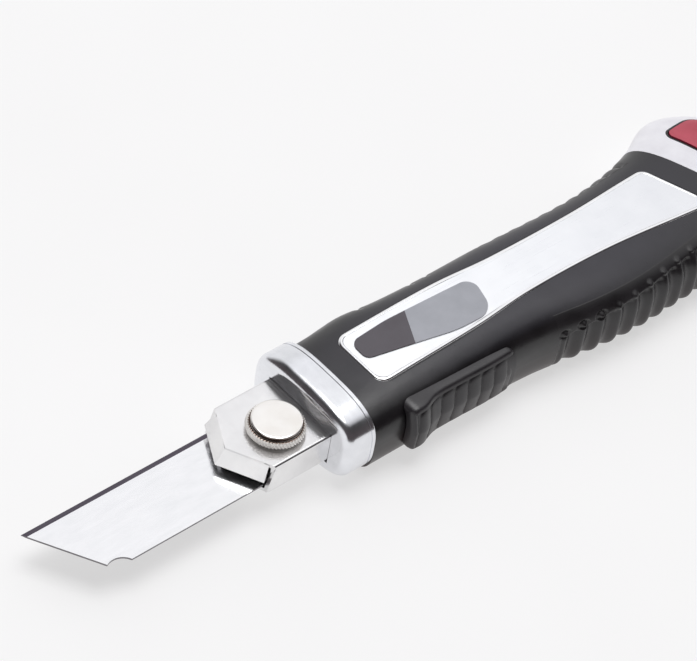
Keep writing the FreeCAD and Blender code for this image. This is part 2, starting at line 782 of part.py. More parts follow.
nut_block = box("nut_block",
                (knob_x + " - nut_half", knob_y + " - nut_half", "carrier_top_z - sheet - nut_thick"),
                ("2 * nut_half", "2 * nut_half", "nut_thick"))
nut_bore = cylinder("nut_bore", (knob_x, knob_y, "screw_low_z"), "screw_radius + running_gap", "knob_top_z")
keep("clamp_nut", cut("clamp_nut", nut_block, nut_bore))

pressure_block = box("pressure_block", (knob_x + " - plate_half_length", "-plate_half_width", "plate_low_z"),
                     ("2 * plate_half_length", "2 * plate_half_width", "plate_thick"))
pressure_boss = cylinder("pressure_boss", (knob_x, knob_y, "plate_low_z + plate_thick / 2"),
                         "screw_radius + boss_wall", "plate_thick / 2 + boss_tall")
pressure_bore = cylinder("pressure_bore", (knob_x, knob_y, "screw_low_z - running_gap"),
                         "screw_radius + running_gap", "knob_top_z")
keep("clamp_plate", cut("clamp_plate", fuse("pressure_solid", pressure_block, pressure_boss), pressure_bore))

# ------------------------------------------------------------------ rail, carriage and slider

rail_out = box("rail_outside", ("nose_x + rail_front", "-rail_half", "rail_low_z"),
               ("rail_rear - rail_front", "2 * rail_half", "rail_high_z - rail_low_z"))
rail_in = box("rail_inside", ("nose_x + rail_front - 1", "-(rail_half - 0.8)", "rail_low_z + 0.8"),
              ("rail_rear - rail_front + 2", "2 * (rail_half - 0.8)", "20"))
rail_window = box("rail_window", ("nose_x + stem_station - slide_out - 0.5", "-rail_half - 1", "8.9"),
                  ("stem_length + slide_out + slide_back + 1", "3", "3"))
keep("guide_rail", cut("guide_rail", rail_out, rail_in, rail_window))

pin_x = "nose_x - blade_reach + blade_length - blade_hole_inset"
PIN_RADIUS = "1.2"
carriage_block = box("carriage_block", ("nose_x + 18", "-8.9", "blade_top_z + 0.05"),
                     ("21", "17.8", "2.6"))
carriage_relief = box("carriage_relief", ("nose_x + 20", "1.5", "blade_top_z + 1.25"), ("17", "9", "3"))
carriage_bore = cylinder("carriage_bore", (pin_x, "0", "0"), PIN_RADIUS, "20")
keep("blade_carriage", cut("blade_carriage", carriage_block, carriage_relief, carriage_bore))

pin_shank = cylinder("pin_shank", (pin_x, "0", "blade_top_z - blade_thick"), PIN_RADIUS + " - 0.02", "4.0")
pin_foot = cylinder("pin_foot", (pin_x, "0", "blade_top_z - blade_thick"), "blade_hole_radius - 0.1",
                    "blade_thick")
keep("blade_pin", fuse("blade_pin", pin_shank, pin_foot))

stem = box("slider_stem", ("nose_x + stem_station", "-17.1", "stem_low_z"),
           ("stem_length", "17.1 - 8.9", "stem_high_z - stem_low_z"))
keep("slider_core", stem)

rack_base = box("rack_base", ("nose_x + rail_front + 3", "rail_half - 3.4", "rail_high_z - 0.5"),
                ("rail_rear - rail_front - 5", "2.5", "0.5"))
TOOTH_PITCH = 2.0
TOOTH_COUNT = 15
rack_teeth = []
for index in range(TOOTH_COUNT):
    front = f"nose_x + rail_front + 4 + {TOOTH_PITCH * index}"
    rack_teeth.append(box(f"rack_tooth_{index}", (front, "rail_half - 3.4", "rail_high_z - 0.9"),
                          ("1", "2.5", "0.45")))
keep("detent_rack", fuse("detent_rack", rack_base, *rack_teeth))

leaf_foot = box("leaf_foot", ("nose_x + 21", "3", "blade_top_z + 1.25"), ("4", "3.6", "0.4"))
leaf_link = box("leaf_link", ("nose_x + 24", "3", "blade_top_z + 1.25"), ("1.5", "5.5", "0.4"))
leaf_arm = box("leaf_arm", ("nose_x + 24", "rail_half - 3.2", "blade_top_z + 1.25"), ("9", "1.4", "0.4"))
leaf_nose = box("leaf_nose", ("nose_x + 32", "rail_half - 3.2", "blade_top_z + 1.25"), ("1", "1.4", "1.5"))
keep("detent_leaf", fuse("detent_leaf", leaf_foot, leaf_link, leaf_arm, leaf_nose))

# Thumb grip: rubber over the stem, standing off the handle by the gap wherever it slides.
GRIP_LOW_Z = 5.3
GRIP_WIDE_Z = 10.5
GRIP_HIGH_Z = 17.2
GRIP_LEAN = 1.9
GRIP_END_ROUND = 2.4
# Outer face of the grip in plan, as (station, y): a hump at the front, then nearly straight.
GRIP_FACE = [(16.6, -18.9), (20.4, -18.9), (24.6, -17.6), (31, -17.5), (40, -17.7), (49, -17.5)]


def grip_plan(z, lean):
    """Plan wire of the grip at one height, its outer face leaning in by a distance."""
    points = [Vector(at(s), y + lean, z) for s, y in GRIP_FACE]
    curve = Part.BSplineCurve()
    curve.interpolate(points)
    inner = [Vector(points[-1].x, -10, z), Vector(points[0].x, -10, z)]
    return Part.Wire([
        curve.toShape(),
        Part.makeLine(points[-1], inner[0]),
        Part.makeLine(inner[0], inner[1]),
        Part.makeLine(inner[1], points[0]),
    ])


grip_low = Part.makeLoft([grip_plan(GRIP_LOW_Z, 0.5), grip_plan(GRIP_WIDE_Z, 0)], True, True)
grip_high = Part.makeLoft([grip_plan(GRIP_WIDE_Z, 0), grip_plan(GRIP_HIGH_Z, GRIP_LEAN)], True, True)
grip_block = slab(dim("grip_front"), dim("grip_rear"), -30, -10, GRIP_LOW_Z, GRIP_HIGH_Z)
along_y = [e for e in grip_block.Edges if abs(e.tangentAt(e.FirstParameter).y) > 0.99]
grip_block = grip_block.makeFillet(GRIP_END_ROUND, along_y)

# The room that the handle needs over the whole travel: each section is taken as far back as the grip
# can go, because the handle only grows towards the tail here.
swept = [handle_section(s + dim("slide_back"), -dim("gap")) for s in (13, 18, 23, 29, 37, 46, 52, 56)]
for wire in swept:
    wire.translate(Vector(-dim("slide_back"), 0, 0))
travel_room = Part.makeLoft(swept, True)
thumb_grip = grip_low.fuse(grip_high).common(grip_block).cut(travel_room)
stem_shape = slab(dim("stem_station"), dim("stem_station") + dim("stem_length"), -17.1, -8.9,
                  dim("stem_low_z"), dim("stem_high_z"))
thumb_grip = thumb_grip.cut(stem_shape)
keep("thumb_grip", feature("thumb_grip", thumb_grip))

# ------------------------------------------------------------------ tail cap

CAP_ROUND_START = 124.0
cap_length = dim("tail_station") - CAP_ROUND_START


def cap_section(station, inset=0.0):
    """Section of the tail cap: it follows the handle, then closes in an ellipse towards the tail."""
    if station <= CAP_ROUND_START:
        near = smooth_through(NEAR_SIDE, station)
        far = smooth_through(FAR_SIDE, station)
        share = 1.0
    else:
        t = (station - CAP_ROUND_START) / (cap_length + 1.2)
        share = math.sqrt(1 - t**2)
        near = smooth_through(NEAR_SIDE, station) * share
        far = smooth_through(FAR_SIDE, station) * share
    middle = dim("parting_z")
    ease = 0.35 + 0.65 * share
    top = middle + (crown(station) - middle) * ease
    bottom = middle - (middle + UNDER_FLOOR) * ease
    return section(station, near - inset, far - inset, top - inset, bottom + inset, middle)


CAP_STATIONS = [106, 112, 118, 124, 129, 134, 138.5, 142, 144.5, 146.2, 147.0]
cap_loft = Part.makeLoft([cap_section(s) for s in CAP_STATIONS], True)
cap_outer = cap_loft.common(above_floor).common(behind_cap_line(dim("cap_gap")))
CAP_WALL = 2.0
CAP_HOLLOW_END = 142
inner_stations = [s for s in CAP_STATIONS if s <= CAP_HOLLOW_END]
cap_inner = Part.makeLoft([cap_section(s, CAP_WALL) for s in inner_stations], True)

# Plan outline of the button, with its front edge parallel to the cap line: (station, y, corner radius).
BUTTON = [(123.3, 15.4, 2.6), (132.8, -14.4, 2.6), (143.0, -8.5, 6.0), (143.4, 8.5, 6.0), (134.5, 17.0, 5.0)]


def button_prism(inset):
    """Upright prism over the button outline pulled in by an inset."""
    face = plan_face(rounded_polygon(BUTTON))
    if inset:
        face = Part.Face(face.OuterWire.makeOffset2D(-inset))
    return face.extrude(Vector(0, 0, ABOVE))


BEZEL_WIDTH = 0.55
BUTTON_PLAY = 0.25
BUTTON_FLOOR_Z = 12.6
bezel_prism = button_prism(0).cut(button_prism(BEZEL_WIDTH))
above_well_floor = slab(CAP_STATIONS[0], BEHIND, -BESIDE, BESIDE, BUTTON_FLOOR_Z, ABOVE)
button_well = button_prism(0).common(above_well_floor)
bezel = bezel_prism.common(above_well_floor).common(cap_loft)
raised = cap_loft.copy()
raised.translate(Vector(0, 0, 0.35))
BUTTON_LOW_Z = BUTTON_FLOOR_Z + dim("button_travel") + 0.3
button_zone = slab(CAP_STATIONS[0], BEHIND, -BESIDE, BESIDE, BUTTON_LOW_Z, ABOVE)
button = button_prism(BEZEL_WIDTH + BUTTON_PLAY).common(raised).common(button_zone)
SPRING_SPOT = (134.5, 0.0)
SPRING_RADIUS = 2.2
keep("button_bezel", feature("button_bezel", bezel))
keep("release_button", feature("release_button", button))

# The cap is hollow below the well's floor, and the tray and plug are held in it.
HOLLOW_BELOW_TRAY = 0.8
WELL_FLOOR_THICK = 1.6
hollow_room = slab(CAP_STATIONS[0], CAP_HOLLOW_END, -BESIDE, BESIDE, dim("tray_low_z") - HOLLOW_BELOW_TRAY,
                   BUTTON_FLOOR_Z - WELL_FLOOR_THICK)
cap_hollow = cap_inner.common(hollow_room)
cap_solid = cap_outer.cut(cap_hollow).cut(button_well)
tray_seat = slab(100, dim("tray_rear") + seat, -dim("tray_half") - seat, dim("tray_half") + seat,
                 dim("tray_low_z") - seat, dim("tray_high_z") + seat)
plug_seat = slab(100, 130, -PLUG_HALF - seat, PLUG_HALF + seat, PLUG_LOW_Z - seat, PLUG_HIGH_Z + seat)
cap_solid = cap_solid.cut(tray_seat).cut(plug_seat)
keep("tail_cap", feature("tail_cap", cap_solid))

spring_base = Vector(at(SPRING_SPOT[0]), SPRING_SPOT[1], BUTTON_FLOOR_Z)
spring_tall = BUTTON_LOW_Z - BUTTON_FLOOR_Z
coil_radius = 0.25
turns = 3
helix = Part.makeHelix((spring_tall - 2 * coil_radius) / turns, spring_tall - 2 * coil_radius, SPRING_RADIUS)
wire_profile = Part.Wire([Part.makeCircle(coil_radius, Vector(SPRING_RADIUS, 0, 0), Vector(0, 1, 0))])
coil = Part.Wire(helix).makePipeShell([wire_profile], True, True)
coil.translate(spring_base + Vector(0, 0, coil_radius))
keep("button_spring", feature("button_spring", coil))

plug_block = box("plug_block", (f"nose_x + {PLUG_FRONT}", f"-{PLUG_HALF}", f"{PLUG_LOW_Z}"),
                 ("19", f"2 * {PLUG_HALF}", f"{PLUG_HIGH_Z} - {PLUG_LOW_Z}"))
plug_hollow = box("plug_hollow", (f"nose_x + {PLUG_FRONT} + 1.5", f"-{PLUG_HALF} + 1.5", f"{PLUG_LOW_Z} - 1"),
                  ("19", f"2 * {PLUG_HALF} - 3", f"{PLUG_HIGH_Z} - {PLUG_LOW_Z} - 0.5"))
keep("cap_plug", cut("cap_plug", plug_block, plug_hollow))

tray_block = box("tray_block", ("nose_x + tray_front", "-tray_half", "tray_low_z"),
                 ("tray_rear - tray_front", "2 * tray_half", "tray_high_z - tray_low_z"))
tray_hollow = box("tray_hollow", ("nose_x + tray_front + 1", "-tray_half + 0.9", "tray_low_z + 0.8"),
                  ("101", "2 * tray_half - 1.8", "10"))
keep("magazine_tray", cut("magazine_tray", tray_block, tray_hollow))

SPARE_COUNT = 3
spares = []
for index in range(SPARE_COUNT):
    top = dim("tray_low_z") + 0.8 + seat + (index + 1) * (thick + seat)
    start = dim("tray_front") + 1.5
    outline = [(start, half_blade), (start + dim("blade_slant"), -half_blade),
               (start + dim("blade_length"), -half_blade), (start + dim("blade_length"), half_blade)]
    flat = plan_face(polygon(outline))
    flat.translate(Vector(0, 0, top - thick))
    spares.append(flat.extrude(Vector(0, 0, thick)))
keep("spare_blades", feature("spare_blades", Part.makeCompound(spares)))

# ------------------------------------------------------------------ check and write

doc.recompute()
for item in doc.Objects:
    if any(state in ("Invalid", "Error") for state in item.State):
        raise RuntimeError(f"{item.Name} failed: {item.State}")
for node, solid in parts.items():
    if solid.Shape.isNull() or not solid.Shape.isValid():
        raise RuntimeError(f"{node} has no valid shape")
    solid.Shape.exportStep(f"parts/{node}.step")
    print(f"{node:16s} {len(solid.Shape.Solids)} solid(s) {solid.Shape.Volume:10.1f} mm3")
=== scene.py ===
import json
import math

import bmesh
import bpy
from mathutils import Matrix, Vector

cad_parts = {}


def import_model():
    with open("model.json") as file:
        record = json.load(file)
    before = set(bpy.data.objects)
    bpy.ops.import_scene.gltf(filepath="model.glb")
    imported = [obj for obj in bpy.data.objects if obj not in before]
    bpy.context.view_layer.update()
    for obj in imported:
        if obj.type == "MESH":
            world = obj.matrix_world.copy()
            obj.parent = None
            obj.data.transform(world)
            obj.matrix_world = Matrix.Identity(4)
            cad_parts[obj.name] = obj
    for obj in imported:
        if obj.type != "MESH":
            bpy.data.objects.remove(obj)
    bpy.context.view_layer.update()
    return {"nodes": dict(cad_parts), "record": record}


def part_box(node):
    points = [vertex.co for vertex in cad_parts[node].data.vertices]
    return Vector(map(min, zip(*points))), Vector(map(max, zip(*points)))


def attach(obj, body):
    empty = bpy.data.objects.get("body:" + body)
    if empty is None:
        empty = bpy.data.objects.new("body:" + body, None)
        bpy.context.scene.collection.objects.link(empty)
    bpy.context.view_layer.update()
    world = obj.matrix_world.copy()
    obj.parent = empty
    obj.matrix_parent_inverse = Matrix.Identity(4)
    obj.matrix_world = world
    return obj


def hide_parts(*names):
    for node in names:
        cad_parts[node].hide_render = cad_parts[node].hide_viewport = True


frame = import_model()
MM = 0.001

# ------------------------------------------------------------------ places read from the frame

knob_low, knob_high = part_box("clamp_knob")
stem_low, stem_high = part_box("slider_core")
NOSE_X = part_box("nose_collar")[0].x / MM
BLADE_TOP_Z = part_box("blade")[1].z / MM


def station(distance):
    """The x coordinate, in millimetres, a distance behind the collar's front face."""
    return NOSE_X + distance


# ------------------------------------------------------------------ node helpers

# Part of its span from 0 to 1 that a noise factor really covers.
MIDDLE_RANGE = (0.3, 0.7)


class Shader:
    """A material under construction: its node tree, its Principled shader and short ways to add nodes."""

    def __init__(self, name, base, metallic=0.0, roughness=0.4):
        self.material = bpy.data.materials.new(name)
        self.material.use_nodes = True
        self.tree = self.material.node_tree
        self.nodes = self.tree.nodes
        self.links = self.tree.links
        self.bsdf = self.nodes["Principled BSDF"]
        self.bsdf.inputs["Base Color"].default_value = (*base, 1)
        self.bsdf.inputs["Metallic"].default_value = metallic
        self.bsdf.inputs["Roughness"].default_value = roughness
        self.place = self.nodes.new("ShaderNodeTexCoord").outputs["Object"]

    def stretched(self, scale):
        """Object coordinates in millimetres, scaled per axis."""
        node = self.nodes.new("ShaderNodeMapping")
        node.inputs["Scale"].default_value = [s / MM for s in scale]
        self.links.new(self.place, node.inputs["Vector"])
        return node.outputs["Vector"]

    def noise(self, scale, stretch=(1, 1, 1), detail=4.0, rough=0.55):
        """Cloudy noise; the scale is in cycles a millimetre."""
        node = self.nodes.new("ShaderNodeTexNoise")
        node.inputs["Scale"].default_value = scale
        node.inputs["Detail"].default_value = detail
        node.inputs["Roughness"].default_value = rough
        self.links.new(self.stretched(stretch), node.inputs["Vector"])
        return node.outputs["Fac"]

    def spread(self, fac, low, high, start=MIDDLE_RANGE[0], end=MIDDLE_RANGE[1]):
        """Maps a factor's middle range, or another one, onto values from low to high."""
        node = self.nodes.new("ShaderNodeMapRange")
        node.inputs["From Min"].default_value = start
        node.inputs["From Max"].default_value = end
        node.inputs["To Min"].default_value = low
        node.inputs["To Max"].default_value = high
        self.links.new(fac, node.inputs["Value"])
        return node.outputs["Result"]

    def split(self, vector):
        """The X, Y and Z outputs of a vector."""
        node = self.nodes.new("ShaderNodeSeparateXYZ")
        self.links.new(vector, node.inputs["Vector"])
        return node.outputs

    def by_height(self, low, high):
        """Factor from 0 at a low height to 1 at a high one, in millimetres."""
        return self.spread(self.split(self.place)["Z"], 0, 1, low * MM, high * MM)

    def facing(self, axis, low, high):
        """Factor that rises as the faces turn towards the positive side of an axis."""
        node = self.nodes.new("ShaderNodeNewGeometry")
        return self.spread(self.split(node.outputs["True Normal"])[axis], 0, 1, low, high)

    def off_height(self, height):
        """Distance above or below a height given in millimetres."""
        below = self.nodes.new("ShaderNodeMath")
        below.operation = "SUBTRACT"
        below.inputs[1].default_value = height * MM
        self.links.new(self.split(self.place)["Z"], below.inputs[0])
        distance = self.nodes.new("ShaderNodeMath")
        distance.operation = "ABSOLUTE"
        self.links.new(below.outputs["Value"], distance.inputs[0])
        return distance.outputs["Value"]

    def two_tone(self, fac, dark, light):
        """Colour that goes from dark to light over a factor's middle range."""
        node = self.nodes.new("ShaderNodeValToRGB")
        for stop, place, tone in zip(node.color_ramp.elements, MIDDLE_RANGE, (dark, light)):
            stop.position = place
            stop.color = (*tone, 1)
        self.links.new(fac, node.inputs["Fac"])
        return node.outputs["Color"]

    def mix(self, fac, first, second):
        """The first colour where the factor is 0, the second where it is 1."""
        node = self.nodes.new("ShaderNodeMix")
        node.data_type = "RGBA"
        self.links.new(fac, node.inputs["Factor"])
        self.links.new(first, node.inputs["A"])
        self.links.new(second, node.inputs["B"])
        return node.outputs["Result"]

    def colour(self, socket):
        """Makes a socket the base colour."""
        self.links.new(socket, self.bsdf.inputs["Base Color"])

    def roughness(self, socket):
        """Makes a socket the roughness."""
        self.links.new(socket, self.bsdf.inputs["Roughness"])

    def bump(self, height, strength, distance):
        """Fine surface relief from a height factor; the distance is in millimetres."""
        node = self.nodes.new("ShaderNodeBump")
        node.inputs["Strength"].default_value = strength
        node.inputs["Distance"].default_value = distance * MM
        self.links.new(height, node.inputs["Height"])
        self.links.new(node.outputs["Normal"], self.bsdf.inputs["Normal"])


# Directions of brush strokes: along the knife, across it, and none.
ALONG = (0.05, 3, 3)
ACROSS = (3, 0.05, 3)
EVERY_WAY = (1, 1, 1)
BLOTCH_SCALE = 0.12
CLOUD_SCALE = 0.25
GRAIN_SCALE = 6.0
STROKE_STRENGTH = 0.35
STROKE_DEPTH = 0.01


def brushed(name, dark, light, rough_low, rough_high, stretch):
    """Metal with fine strokes: long along the axis whose stretch is small."""
    shader = Shader(name, light, metallic=1.0)
    strokes = shader.noise(1.0, stretch, detail=6.0, rough=0.7)
    blotches = shader.noise(BLOTCH_SCALE, detail=3.0)
    shader.colour(shader.two_tone(blotches, dark, light))
    shader.roughness(shader.spread(strokes, rough_low, rough_high))
    shader.bump(strokes, STROKE_STRENGTH, STROKE_DEPTH)
    return shader.material


def plated(name, dark, light, rough_low, rough_high, metallic=1.0):
    """Cast and plated metal: smooth, with faint clouds and a fine grain."""
    shader = Shader(name, light, metallic=metallic)
    cloud = shader.noise(CLOUD_SCALE)
    grain = shader.noise(GRAIN_SCALE, detail=3.0)
    shader.colour(shader.two_tone(cloud, dark, light))
    shader.roughness(shader.spread(cloud, rough_low, rough_high))
    shader.bump(grain, 0.10, 0.002)
    return shader.material


def ground_steel():
    """Blade steel: finely stroked flats, with the ground bevel and the narrow edges coloured dark as a
    painted reflection of dark surroundings.
    """
    shader = Shader("blade_steel", (0.89, 0.89, 0.905), metallic=1.0)
    strokes = shader.noise(1.0, ALONG, detail=6.0, rough=0.7)
    marks = shader.noise(0.5, (0.3, 1.2, 1), detail=5.0, rough=0.65)
    cloud = shader.noise(BLOTCH_SCALE, detail=3.0)
    flat = shader.two_tone(marks, (0.84, 0.845, 0.86), (0.905, 0.905, 0.92))
    # Painted reflection: the bevel and the narrow edges get dark colours for the dark surroundings they
    # mirror.
    bevel = shader.two_tone(strokes, (0.085, 0.073, 0.095), (0.135, 0.12, 0.145))
    edge = shader.two_tone(cloud, (0.16, 0.15, 0.16), (0.22, 0.21, 0.22))
    flat_or_painted_bevel = shader.mix(shader.facing("Y", 0.05, 0.12), flat, bevel)
    shader.colour(shader.mix(shader.facing("Z", 0.4, 0.7), edge, flat_or_painted_bevel))
    shader.roughness(shader.spread(strokes, 0.13, 0.22))
    shader.bump(strokes, STROKE_STRENGTH, STROKE_DEPTH)
    return shader.material


# Distances below the knob's top over which the painted brown shade in its groove and on its disc's side sets
# in and fades out.
SHADE_SETS_IN = (1.28, 1.18)
SHADE_FADES_OUT = (0.26, 0.12)
RING_METALLIC = 0.12


def knob_nickel():
    """Bright nickel with painted brown shade in the groove under the knob's disc; the knurled ring is less
    mirror-like.
    """
    shader = Shader("nickel", (0.93, 0.91, 0.88), metallic=1.0)
    cloud = shader.noise(CLOUD_SCALE)
    bright = shader.two_tone(cloud, (0.88, 0.85, 0.81), (0.95, 0.93, 0.90))
    # Painted shade: a dark brown for the groove under the disc and the disc's side.
    painted_shade = shader.two_tone(cloud, (0.10, 0.070, 0.055), (0.17, 0.12, 0.10))
    top = knob_high.z / MM
    above_ring = shader.by_height(*(top - drop for drop in SHADE_SETS_IN))
    on_disc = shader.by_height(*(top - drop for drop in SHADE_FADES_OUT))
    shader.colour(shader.mix(above_ring, bright, shader.mix(on_disc, painted_shade, bright)))
    shader.links.new(shader.spread(above_ring, RING_METALLIC, 1.0, 0, 1), shader.bsdf.inputs["Metallic"])
    shader.roughness(shader.spread(cloud, 0.10, 0.18))
    shader.bump(shader.noise(GRAIN_SCALE, detail=3.0), 0.12, 0.006)
    return shader.material


# Heights in millimetres of the painted warm floor bounce low down and the painted pale sheen on top; the
# depth sets the darker end of each painted tint.
PAINTED_BOUNCE_Z = (2.0, 12.0)
PAINTED_SHEEN_Z = (17.0, 19.4)
PAINTED_LIGHT_DEPTH = 0.9
PARTING_Z = 10.0
SEAM_HALF = (0.06, 0.12)
SEAM_BLACK = (0.002, 0.002, 0.002)


def moulded(name, dark, light, rough_low, rough_high, low=None, high=None, seam=False, coat=0.0, shine=0.5):
    """Moulded plastic or rubber: fine texture and uneven gloss, with a painted warm bounce from the floor low
    down and a painted pale sheen high up if asked.

    A seam is a thin black line at the height where the two shells meet.
    """
    shader = Shader(name, light)
    cloud = shader.noise(0.18, detail=5.0)
    texture = shader.noise(2.6, detail=3.0, rough=0.6)
    tone = shader.two_tone(cloud, dark, light)
    if low:
        # Painted light: a warm bounce from the floor low down.
        painted_bounce = shader.two_tone(cloud, [PAINTED_LIGHT_DEPTH * c for c in low], low)
        tone = shader.mix(shader.by_height(*PAINTED_BOUNCE_Z), painted_bounce, tone)
    if high:
        # Painted light: a pale sheen from the sky high up.
        painted_sheen = shader.two_tone(cloud, [PAINTED_LIGHT_DEPTH * c for c in high], high)
        tone = shader.mix(shader.by_height(*PAINTED_SHEEN_Z), tone, painted_sheen)
    if seam:
        line = shader.spread(shader.off_height(PARTING_Z), 0, 1, *(half * MM for half in SEAM_HALF))
        tone = shader.mix(line, shader.two_tone(cloud, SEAM_BLACK, dark), tone)
    shader.colour(tone)
    shader.roughness(shader.spread(cloud, rough_low, rough_high))
    shader.bump(texture, 0.5, 0.008)
    shader.bsdf.inputs["Specular IOR Level"].default_value = shine
    shader.bsdf.inputs["Coat Weight"].default_value = coat
    shader.bsdf.inputs["Coat Roughness"].default_value = 0.25
    return shader.material


MATERIALS = {
    "blade_steel": ground_steel(),
    "carrier_steel": brushed("carrier_steel", (0.76, 0.755, 0.76), (0.87, 0.865, 0.865), 0.15, 0.27, ACROSS),
    "nickel": knob_nickel(),
    "satin_chrome": plated("satin_chrome", (0.76, 0.77, 0.80), (0.85, 0.86, 0.89), 0.15, 0.22),
    "bright_plate": brushed("bright_plate", (0.83, 0.84, 0.865), (0.88, 0.89, 0.91), 0.26, 0.36, ALONG),
    "polished_rim": plated("polished_rim", (0.90, 0.90, 0.91), (0.96, 0.96, 0.97), 0.05, 0.12),
    "badge_dark": moulded("badge_dark", (0.068, 0.058, 0.07), (0.085, 0.075, 0.09), 0.35, 0.50),
    "badge_light": moulded("badge_light", (0.33, 0.34, 0.375), (0.39, 0.40, 0.44), 0.35, 0.50),
    # The low and high colours below are painted light: a warm floor bounce low down and a pale sheen on top.
    "black_body": moulded("black_body", (0.005, 0.0042, 0.0050), (0.009, 0.0075, 0.0090), 0.27, 0.36,
                          low=(0.040, 0.025, 0.023), high=(0.021, 0.019, 0.028), seam=True, shine=0.55),
    "black_rubber": moulded("black_rubber", (0.006, 0.0048, 0.0058), (0.010, 0.008, 0.010), 0.32, 0.42,
                            low=(0.030, 0.020, 0.020), shine=0.6),
    "slider_rubber": moulded("slider_rubber", (0.013, 0.011, 0.0135), (0.020, 0.017, 0.0205), 0.34, 0.44,
                             low=(0.040, 0.028, 0.027), high=(0.030, 0.029, 0.038), shine=0.6),
    "inner_plastic": moulded("inner_plastic", (0.03, 0.03, 0.032), (0.045, 0.045, 0.048), 0.45, 0.55),
    "spring_steel": brushed("spring_steel", (0.5, 0.5, 0.5), (0.62, 0.62, 0.62), 0.25, 0.35, EVERY_WAY),
    "screw_steel": plated("screw_steel", (0.16, 0.16, 0.17), (0.24, 0.24, 0.25), 0.30, 0.42),
    "silver_cap": plated("silver_cap", (0.80, 0.79, 0.83), (0.87, 0.865, 0.90), 0.30, 0.40, 0.30),
    "red_button": moulded("red_button", (0.42, 0.03, 0.06), (0.52, 0.05, 0.09), 0.28, 0.38, coat=0.4),
    "bezel_black": moulded("bezel_black", (0.012, 0.012, 0.013), (0.02, 0.02, 0.022), 0.5, 0.6),
}

SLOTS = {row["node"]: row["material_slot"] for row in frame["record"]["subparts"]}


def dress(piece, slot):
    """Gives a piece the one material of a slot."""
    piece.data.materials.clear()
    piece.data.materials.append(MATERIALS[slot])


for node, piece in frame["nodes"].items():
    dress(piece, SLOTS[node])

# ------------------------------------------------------------------ shape of the handle

# Half widths of the handle at its widest height, as (station, half width) in millimetres.
NEAR_SIDE = [(0, 15.7), (30, 15.7), (46, 15.8), (52, 16.0), (58, 16.5), (64, 17.4), (71, 18.6), (79, 19.5),
             (88, 19.8), (98, 19.4), (107, 19.1), (113, 19.5), (118, 20.3), (126, 22.45)]
FAR_SIDE = [(0, 14.9), (12, 14.9), (23, 15.6), (29, 14.8), (37, 14.1), (46, 13.8), (62, 13.8), (80, 13.3),
            (90, 13.4), (98, 14.2), (106, 15.6), (112, 17.1), (118, 19.4), (126, 23.2)]
PLATE_SIDE = [(15.2, 7.9), (22, 7.9), (44, 7.6), (60, 6.5), (84, 6.6), (106, 8.1), (118, 8.9)]
CROWN_TOP = 20.1
CROWN_STATION = 65.0
CROWN_RADIUS = 833.0
UNDER_FLOOR = 0.4
UPPER_POWER = 3.0
LOWER_POWER = 3.4
# The side's curve is followed up to this share of its height, so that its half width stays above zero.
MAX_SHARE = 0.9999
# Signs of Y: the slider's side, and the cutting edge's side.
NEAR, FAR = -1, 1


def smooth_through(table, value):
    """Smooth curve through a table of (value, result) pairs."""
    last = len(table) - 1
    index = max(i for i in range(last) if table[i][0] <= max(value, table[0][0]))
    left, right = table[index], table[index + 1]
    span = right[0] - left[0]

    def slope(i):
        low, high = table[max(i - 1, 0)], table[min(i + 1, last)]
        return (high[1] - low[1]) / (high[0] - low[0])

    t = min(max((value - left[0]) / span, 0), 1)
    rise = (2 * t**3 - 3 * t**2 + 1) * left[1] + (3 * t**2 - 2 * t**3) * right[1]
    return rise + span * ((t**3 - 2 * t**2 + t) * slope(index) + (t**3 - t**2) * slope(index + 1))


def crown(s):
    """Height of the arched top of the handle at a station."""
    return CROWN_TOP - (s - CROWN_STATION) ** 2 / (2 * CROWN_RADIUS)


def side_point(s, z, side, inset=0.0):
    """Point of the handle's side at a station and height, pulled in by an inset."""
    table = NEAR_SIDE if side == NEAR else FAR_SIDE
    half = smooth_through(table, s) - inset
    if z >= PARTING_Z:
        reach, power = crown(s) - inset - PARTING_Z, UPPER_POWER
    else:
        reach, power = PARTING_Z + UNDER_FLOOR - inset, LOWER_POWER
    share = min(abs(z - PARTING_Z) / reach, MAX_SHARE)
    return Vector((station(s), side * half * (1 - share**power) ** (1 / power), z))


def ease(low, high, value):
    """Smooth step from 0 at low to 1 at high."""
    t = min(max((value - low) / (high - low), 0), 1)
    return t * t * (3 - 2 * t)


# ------------------------------------------------------------------ mesh helpers

def piece_from(name, points, faces, body, slot_name, replaced=(), sharp=40):
    """Finished mesh piece from points in millimetres, riding on a body of the frame."""
    mesh = bpy.data.meshes.new(name)
    mesh.from_pydata([Vector(p) * MM for p in points], [], faces)
    tidy = bmesh.new()
    tidy.from_mesh(mesh)
    bmesh.ops.remove_doubles(tidy, verts=tidy.verts, dist=1e-7)
    bmesh.ops.recalc_face_normals(tidy, faces=tidy.faces)
    tidy.to_mesh(mesh)
    tidy.free()
    mesh.polygons.foreach_set("use_smooth", [True] * len(mesh.polygons))
    mesh.set_sharp_from_angle(angle=math.radians(sharp))
    piece = bpy.data.objects.new(name, mesh)
    bpy.context.scene.collection.objects.link(piece)
    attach(piece, body)
    if replaced:
        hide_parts(*replaced)
    dress(piece, slot_name)


def rings_to_faces(count, size, closed=False):
    """Quads between neighbouring rings of the same size, with flat caps at the ends unless closed."""
    faces = []
    for i in range(count if closed else count - 1):
        for j in range(size):
            k = (j + 1) % size
            n = (i + 1) % count
            faces.append((i * size + j, i * size + k, n * size + k, n * size + j))
    if not closed:
        faces.append(tuple(range(size - 1, -1, -1)))
        faces.append(tuple((count - 1) * size + j for j in range(size)))
    return faces


def piece_from_rings(name, rings, body, slot_name, replaced=(), sharp=40):
    """Piece with a skin over a row of rings, each with as many points as the others."""
    points = [point for ring in rings for point in ring]
    piece_from(name, points, rings_to_faces(len(rings), len(rings[0])), body, slot_name, replaced, sharp)


